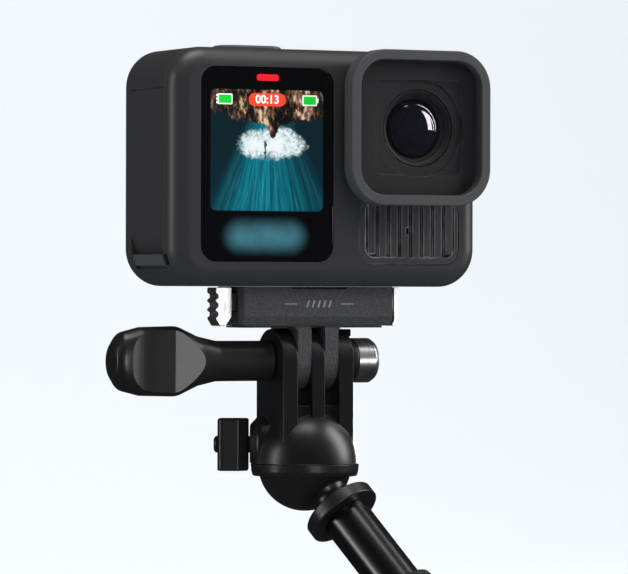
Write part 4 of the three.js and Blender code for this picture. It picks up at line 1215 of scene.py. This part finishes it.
def makePole():
    at = ballAt
    stem = sphereArc(10.0, 180, 25, 60) + rounder(
        [(4.2, 9.1, 0), (3.75, 9.9, 0.5), (3.75, 12.45, 0.1), (3.5, 12.5, 0), (3.5, 24, 0), (0, 24, 0)], 5)
    ball = lathe("ballStem", stem, at, poleAxis, 128)
    place(smoothShade(ball, 40), "pole_tube", "satin", satinPlastic, "ball_stem")

    collar = lathe("poleCollar", rounder([
        (3.65, 12.5, 0), (7.7, 12.5, 0.15), (8.08, 12.85, 0.2), (8.08, 15.2, 0.14), (7.95, 15.35, 0.1),
        (3.65, 15.35, 0),
    ], 5), at, poleAxis, 128)
    place(smoothShade(collar, 35), "pole_tube", "satin", satinPlastic, "pole_collar")

    tube = lathe("poleTube", rounder([(4.2, 15.45, 0), (5.2, 15.45, 0.1), (5.2, 56, 0.25), (4.2, 56, 0.2)],
                                     4),
                 at, poleAxis, 128)
    place(smoothShade(tube, 35), "pole_tube", "tube", tubeBlack, "pole_tube")

    grip = {"start": 36.6, "end": 43.6, "grooves": 5}
    ringPoints = [(5.35, grip["start"], 0.1), (6.7, grip["start"], 0.4)]
    pitch = (grip["end"] - grip["start"] - 1.6) / grip["grooves"]
    for i in range(grip["grooves"]):
        d = grip["start"] + 1.0 + pitch * i
        ringPoints += [(6.9, d, 0.12), (6.9, d + pitch * 0.55, 0.12), (6.65, d + pitch * 0.62, 0.1),
                       (6.65, d + pitch * 0.93, 0.1)]
    ringPoints += [(6.9, grip["end"] - 0.6, 0.12), (6.9, grip["end"], 0.3), (5.35, grip["end"], 0.1)]
    collar = lathe("sleeveCollar", rounder(ringPoints, 3), at, poleAxis, 128)
    place(smoothShade(collar, 35), "pole_base", "rubber", rubberBlack, "sleeve_collar")

    sleeve = lathe("poleSleeve", roundedTube(6.5, 5.35, 43.75, 70, 0.2), at, poleAxis, 128)
    place(smoothShade(sleeve, 35), "pole_base", "tube", tubeBlack, "pole_sleeve")
    cap = lathe("poleEndCap", rounder([
        (0, 66, 0), (5.2, 66, 0.3), (5.2, 70.15, 0), (6.5, 70.15, 0.15), (6.5, 73, 0.6), (0, 73, 0),
    ], 6), at, poleAxis, 128)
    return place(smoothShade(cap, 35), "pole_base", "rubber", rubberBlack, "pole_end_cap")


def makeThumbscrew():
    low, high = span("thumbscrew_handle")
    grip = {"flat": 4.6, "dip": 1.9, "from": 2.6, "deepest": 13.8, "to": 23.6, "sharp": 3.4}
    outline = rounder([
        (low.x, 0, 0), (low.x + 0.1, 3.4, 2.2), (low.x + 1.9, 6.1, 2.4), (low.x + 6.5, 7.25, 3.0),
        (low.x + 14.8, 7.45, 4.0), (low.x + 19.6, 5.3, 5.0), (low.x + 24.0, 4.32, 2.6),
        (low.x + 25.5, 4.3, 0),
        (high.x - 0.3, 4.3, 0.25), (high.x - 0.05, 3.9, 0.2), (high.x - 0.02, 0, 0),
    ], 14)

    def silhouette(x):
        last = outline[0]
        for point in outline[1:]:
            if last[0] <= x <= point[0] and point[0] > last[0]:
                share = (x - last[0]) / (point[0] - last[0])
                return last[1] + (point[1] - last[1]) * share
            last = point
        return outline[-1][1]

    around = 144
    stations = [low.x + 0.02 + 0.05 * i for i in range(8)] + [low.x + 0.5 + 0.25 * i for i in range(100)]
    stations += [low.x + 26, high.x - 0.35, high.x - 0.25, high.x - 0.1]
    loops = []
    for x in stations:
        radius = max(silhouette(x), 0.05)
        depth = grip["flat"]
        loop = []
        for k in range(around):
            angle = 2 * pi * k / around
            side = max(abs(cos(angle)), 1e-4)
            n = grip["sharp"]
            reach = ((1 / radius) ** n + (side / depth) ** n) ** (-1 / n)
            loop.append((x, hingeAt.y + reach * cos(angle), hingeAt.z + reach * sin(angle)))
        loops.append(loop)
    handle = loft("thumbscrewHandle", loops)
    start, deepest, end = (low.x + grip[k] for k in ("from", "deepest", "to"))
    for side in (-1, 1):
        notch = [(start - 0.8, grip["flat"] + 1)]
        notch += [(start + (deepest - start) * t / 12, grip["flat"] - grip["dip"] * (1 - (1 - t / 12) ** 4))
                  for t in range(13)]
        notch += [(end + 0.8, grip["flat"] + 0.2), (end + 0.8, grip["flat"] + 1)]
        outlineHere = [(x, hingeAt.y + side * depth) for x, depth in notch]
        carve(handle, slab("notch", fixedRing(outlineHere), [(0, hingeAt.z - 12), (0, hingeAt.z + 12)], "z"))
    softEdges(handle, 0.14, 2, 24)
    place(smoothShade(handle, 50), "thumbscrew", "satin", satinPlastic, "thumbscrew_handle")

    bolt = lathe("thumbscrewBolt", roundedRod(2.38, -20, 14.9, 0.4), hingeAt, xAxis, 64)
    place(smoothShade(bolt), "thumbscrew", "steel", dullSteel, "thumbscrew_bolt")

    low, high = span("nut_collar")
    collar = lathe("nutCollar", roundedTube(4.9, 2.5, low.x, high.x, 0.25), hingeAt, xAxis, 96)
    place(smoothShade(collar, 35), "ball_head", "satin", satinPlastic, "nut_collar")
    low, high = span("thumbscrew_nut")
    nut = lathe("thumbscrewNut", rounder([
        (2.5, low.x, 0.1), (4.8, low.x, 0.15), (4.8, high.x - 1.2, 0.2), (4.2, high.x - 0.3, 0.2),
        (3.3, high.x, 0.2),
        (2.5, high.x, 0.15),
    ], 5), hingeAt, xAxis, 96)
    return place(smoothShade(nut, 35), "ball_head", "steel", brightSteel, "thumbscrew_nut")


makeYoke()
makeClamp()
makePole()
makeThumbscrew()
print("ball head and pole made")


slotMaterials = {
    "housing": housingPlastic, "frame": framePlastic, "gloss": rearGlass, "screen": rearGlass,
    "lamp": lampRed,
    "optic": lensCoated, "inner": innerPlastic, "grain": grainPlastic, "satin": satinPlastic,
    "tube": tubeBlack,
    "steel": dullSteel, "board": boardGreen, "cell": cellCase, "alloy": softAlloy, "rubber": rubberBlack,
}
for part in frame["record"]["subparts"]:
    node = frame["nodes"][part["node"]]
    node.data.materials.clear()
    node.data.materials.append(slotMaterials[part["material_slot"]])
print("inner pieces finished")


studio = {"floorGap": 0.026, "depth": 3.0, "wide": 4.0, "tall": 2.2, "bend": 0.6}


def makeBackdrop():
    floorZ = cadBox[0][2] - studio["floorGap"]
    back = studio["depth"] / 2
    bend = studio["bend"]
    rows = [(-2.2, floorZ), (back - bend, floorZ)]
    rows += [(back - bend + bend * sin(pi / 2 * i / 12), floorZ + bend * (1 - cos(pi / 2 * i / 12)))
             for i in range(1, 13)]
    rows.append((back, floorZ + studio["tall"]))
    half = studio["wide"] / 2
    verts = [(x, y, z) for y, z in rows for x in (-half, half)]
    faces = [(2 * i, 2 * i + 1, 2 * i + 3, 2 * i + 2) for i in range(len(rows) - 1)]
    mesh = bpy.data.meshes.new("studioSheet")
    mesh.from_pydata(verts, [], faces)
    mesh.shade_smooth()
    sheet = bpy.data.objects.new("studioSheet", mesh)
    bpy.context.scene.collection.objects.link(sheet)
    material, tree, shader, where = startMaterial("pale_paper", Roughness=0.9)
    cloud = mapRange(tree, noise(tree, where, 3.0, 2.0), 0.2, 0.8, 0.0, 1.0)
    wire(tree, mixColor(tree, cloud, (0.42, 0.44, 0.46, 1), (0.45, 0.47, 0.49, 1)),
         shader.inputs["Base Color"])
    shader.inputs["Emission Color"].default_value = (0.86, 0.89, 0.92, 1)
    shader.inputs["Emission Strength"].default_value = 0.74
    mesh.materials.append(material)
    sheet.visible_glossy = False


def areaLight(name, offset, size, power, tint=(1, 1, 1)):
    light = bpy.data.lights.new(name, "AREA")
    light.shape = "RECTANGLE"
    light.size, light.size_y = size
    light.energy = power
    light.color = tint
    lamp = bpy.data.objects.new(name, light)
    bpy.context.scene.collection.objects.link(lamp)
    aim = home + Vector((0, 0, 5)) * mm
    lamp.location = aim + Vector(offset)
    lamp.rotation_euler = (aim - lamp.location).to_track_quat("-Z", "Y").to_euler()
    return lamp


def lightOnly(lamp, *materials):  # the lamp reaches only the pieces made of these
    group = bpy.data.collections.new(lamp.name + "Reach")
    for piece in bpy.data.objects:
        if piece.type == "MESH" and any(m and m.name in materials for m in piece.data.materials):
            group.objects.link(piece)
    lamp.light_linking.receiver_collection = group


def makeLights():
    world = bpy.data.worlds.new("studioAir")
    world.use_nodes = True
    world.node_tree.nodes["Background"].inputs[0].default_value = (0.9, 0.95, 1.0, 1)
    world.node_tree.nodes["Background"].inputs[1].default_value = 0.03
    bpy.context.scene.world = world
    areaLight("rightBox", (0.78, -0.30, 0.42), (0.4, 0.9), 9.5)
    areaLight("topBox", (-0.05, -0.10, 0.90), (0.6, 0.5), 6.5)
    areaLight("leftStrip", (-0.85, 0.05, 0.06), (0.10, 0.7), 2.8)
    areaLight("frontFill", (-0.20, -0.75, 0.68), (0.7, 0.4), 4.5).visible_glossy = False
    lightOnly(areaLight("frontStrip", (-0.03, -0.90, -0.02), (0.16, 0.3), 2.4), "satin_plastic")
    lightOnly(areaLight("clipCard", (0.165, -0.34, -0.035), (0.16, 0.05), 0.16), "bright_steel", "dull_steel")
    lightOnly(areaLight("lowRim", (0.55, 0.50, -0.05), (0.10, 0.16), 2.2), "prong_plastic", "pole_black",
              "dull_steel")


def makeCamera():
    view = {"turn": -26.0, "distance": 0.94, "lens": 250.9, "aimX": 3.07, "aimZ": -0.1, "roll": 0.15}
    aim = home + Vector((view["aimX"], 0, view["aimZ"])) * mm
    turn = radians(view["turn"])
    camera = bpy.data.objects.new("viewer", bpy.data.cameras.new("viewer"))
    bpy.context.scene.collection.objects.link(camera)
    camera.location = aim + Vector((sin(turn), -cos(turn), 0)) * view["distance"]
    camera.rotation_euler = (aim - camera.location).to_track_quat("-Z", "Y").to_euler()
    camera.rotation_euler.rotate_axis("Z", radians(view["roll"]))
    camera.data.lens = view["lens"]
    camera.data.sensor_width = 36
    camera.data.clip_start, camera.data.clip_end = 0.01, 20
    bpy.context.scene.camera = camera


makeBackdrop()
makeLights()
makeCamera()
scene = bpy.context.scene
scene.view_settings.view_transform = "Standard"
print("studio ready")
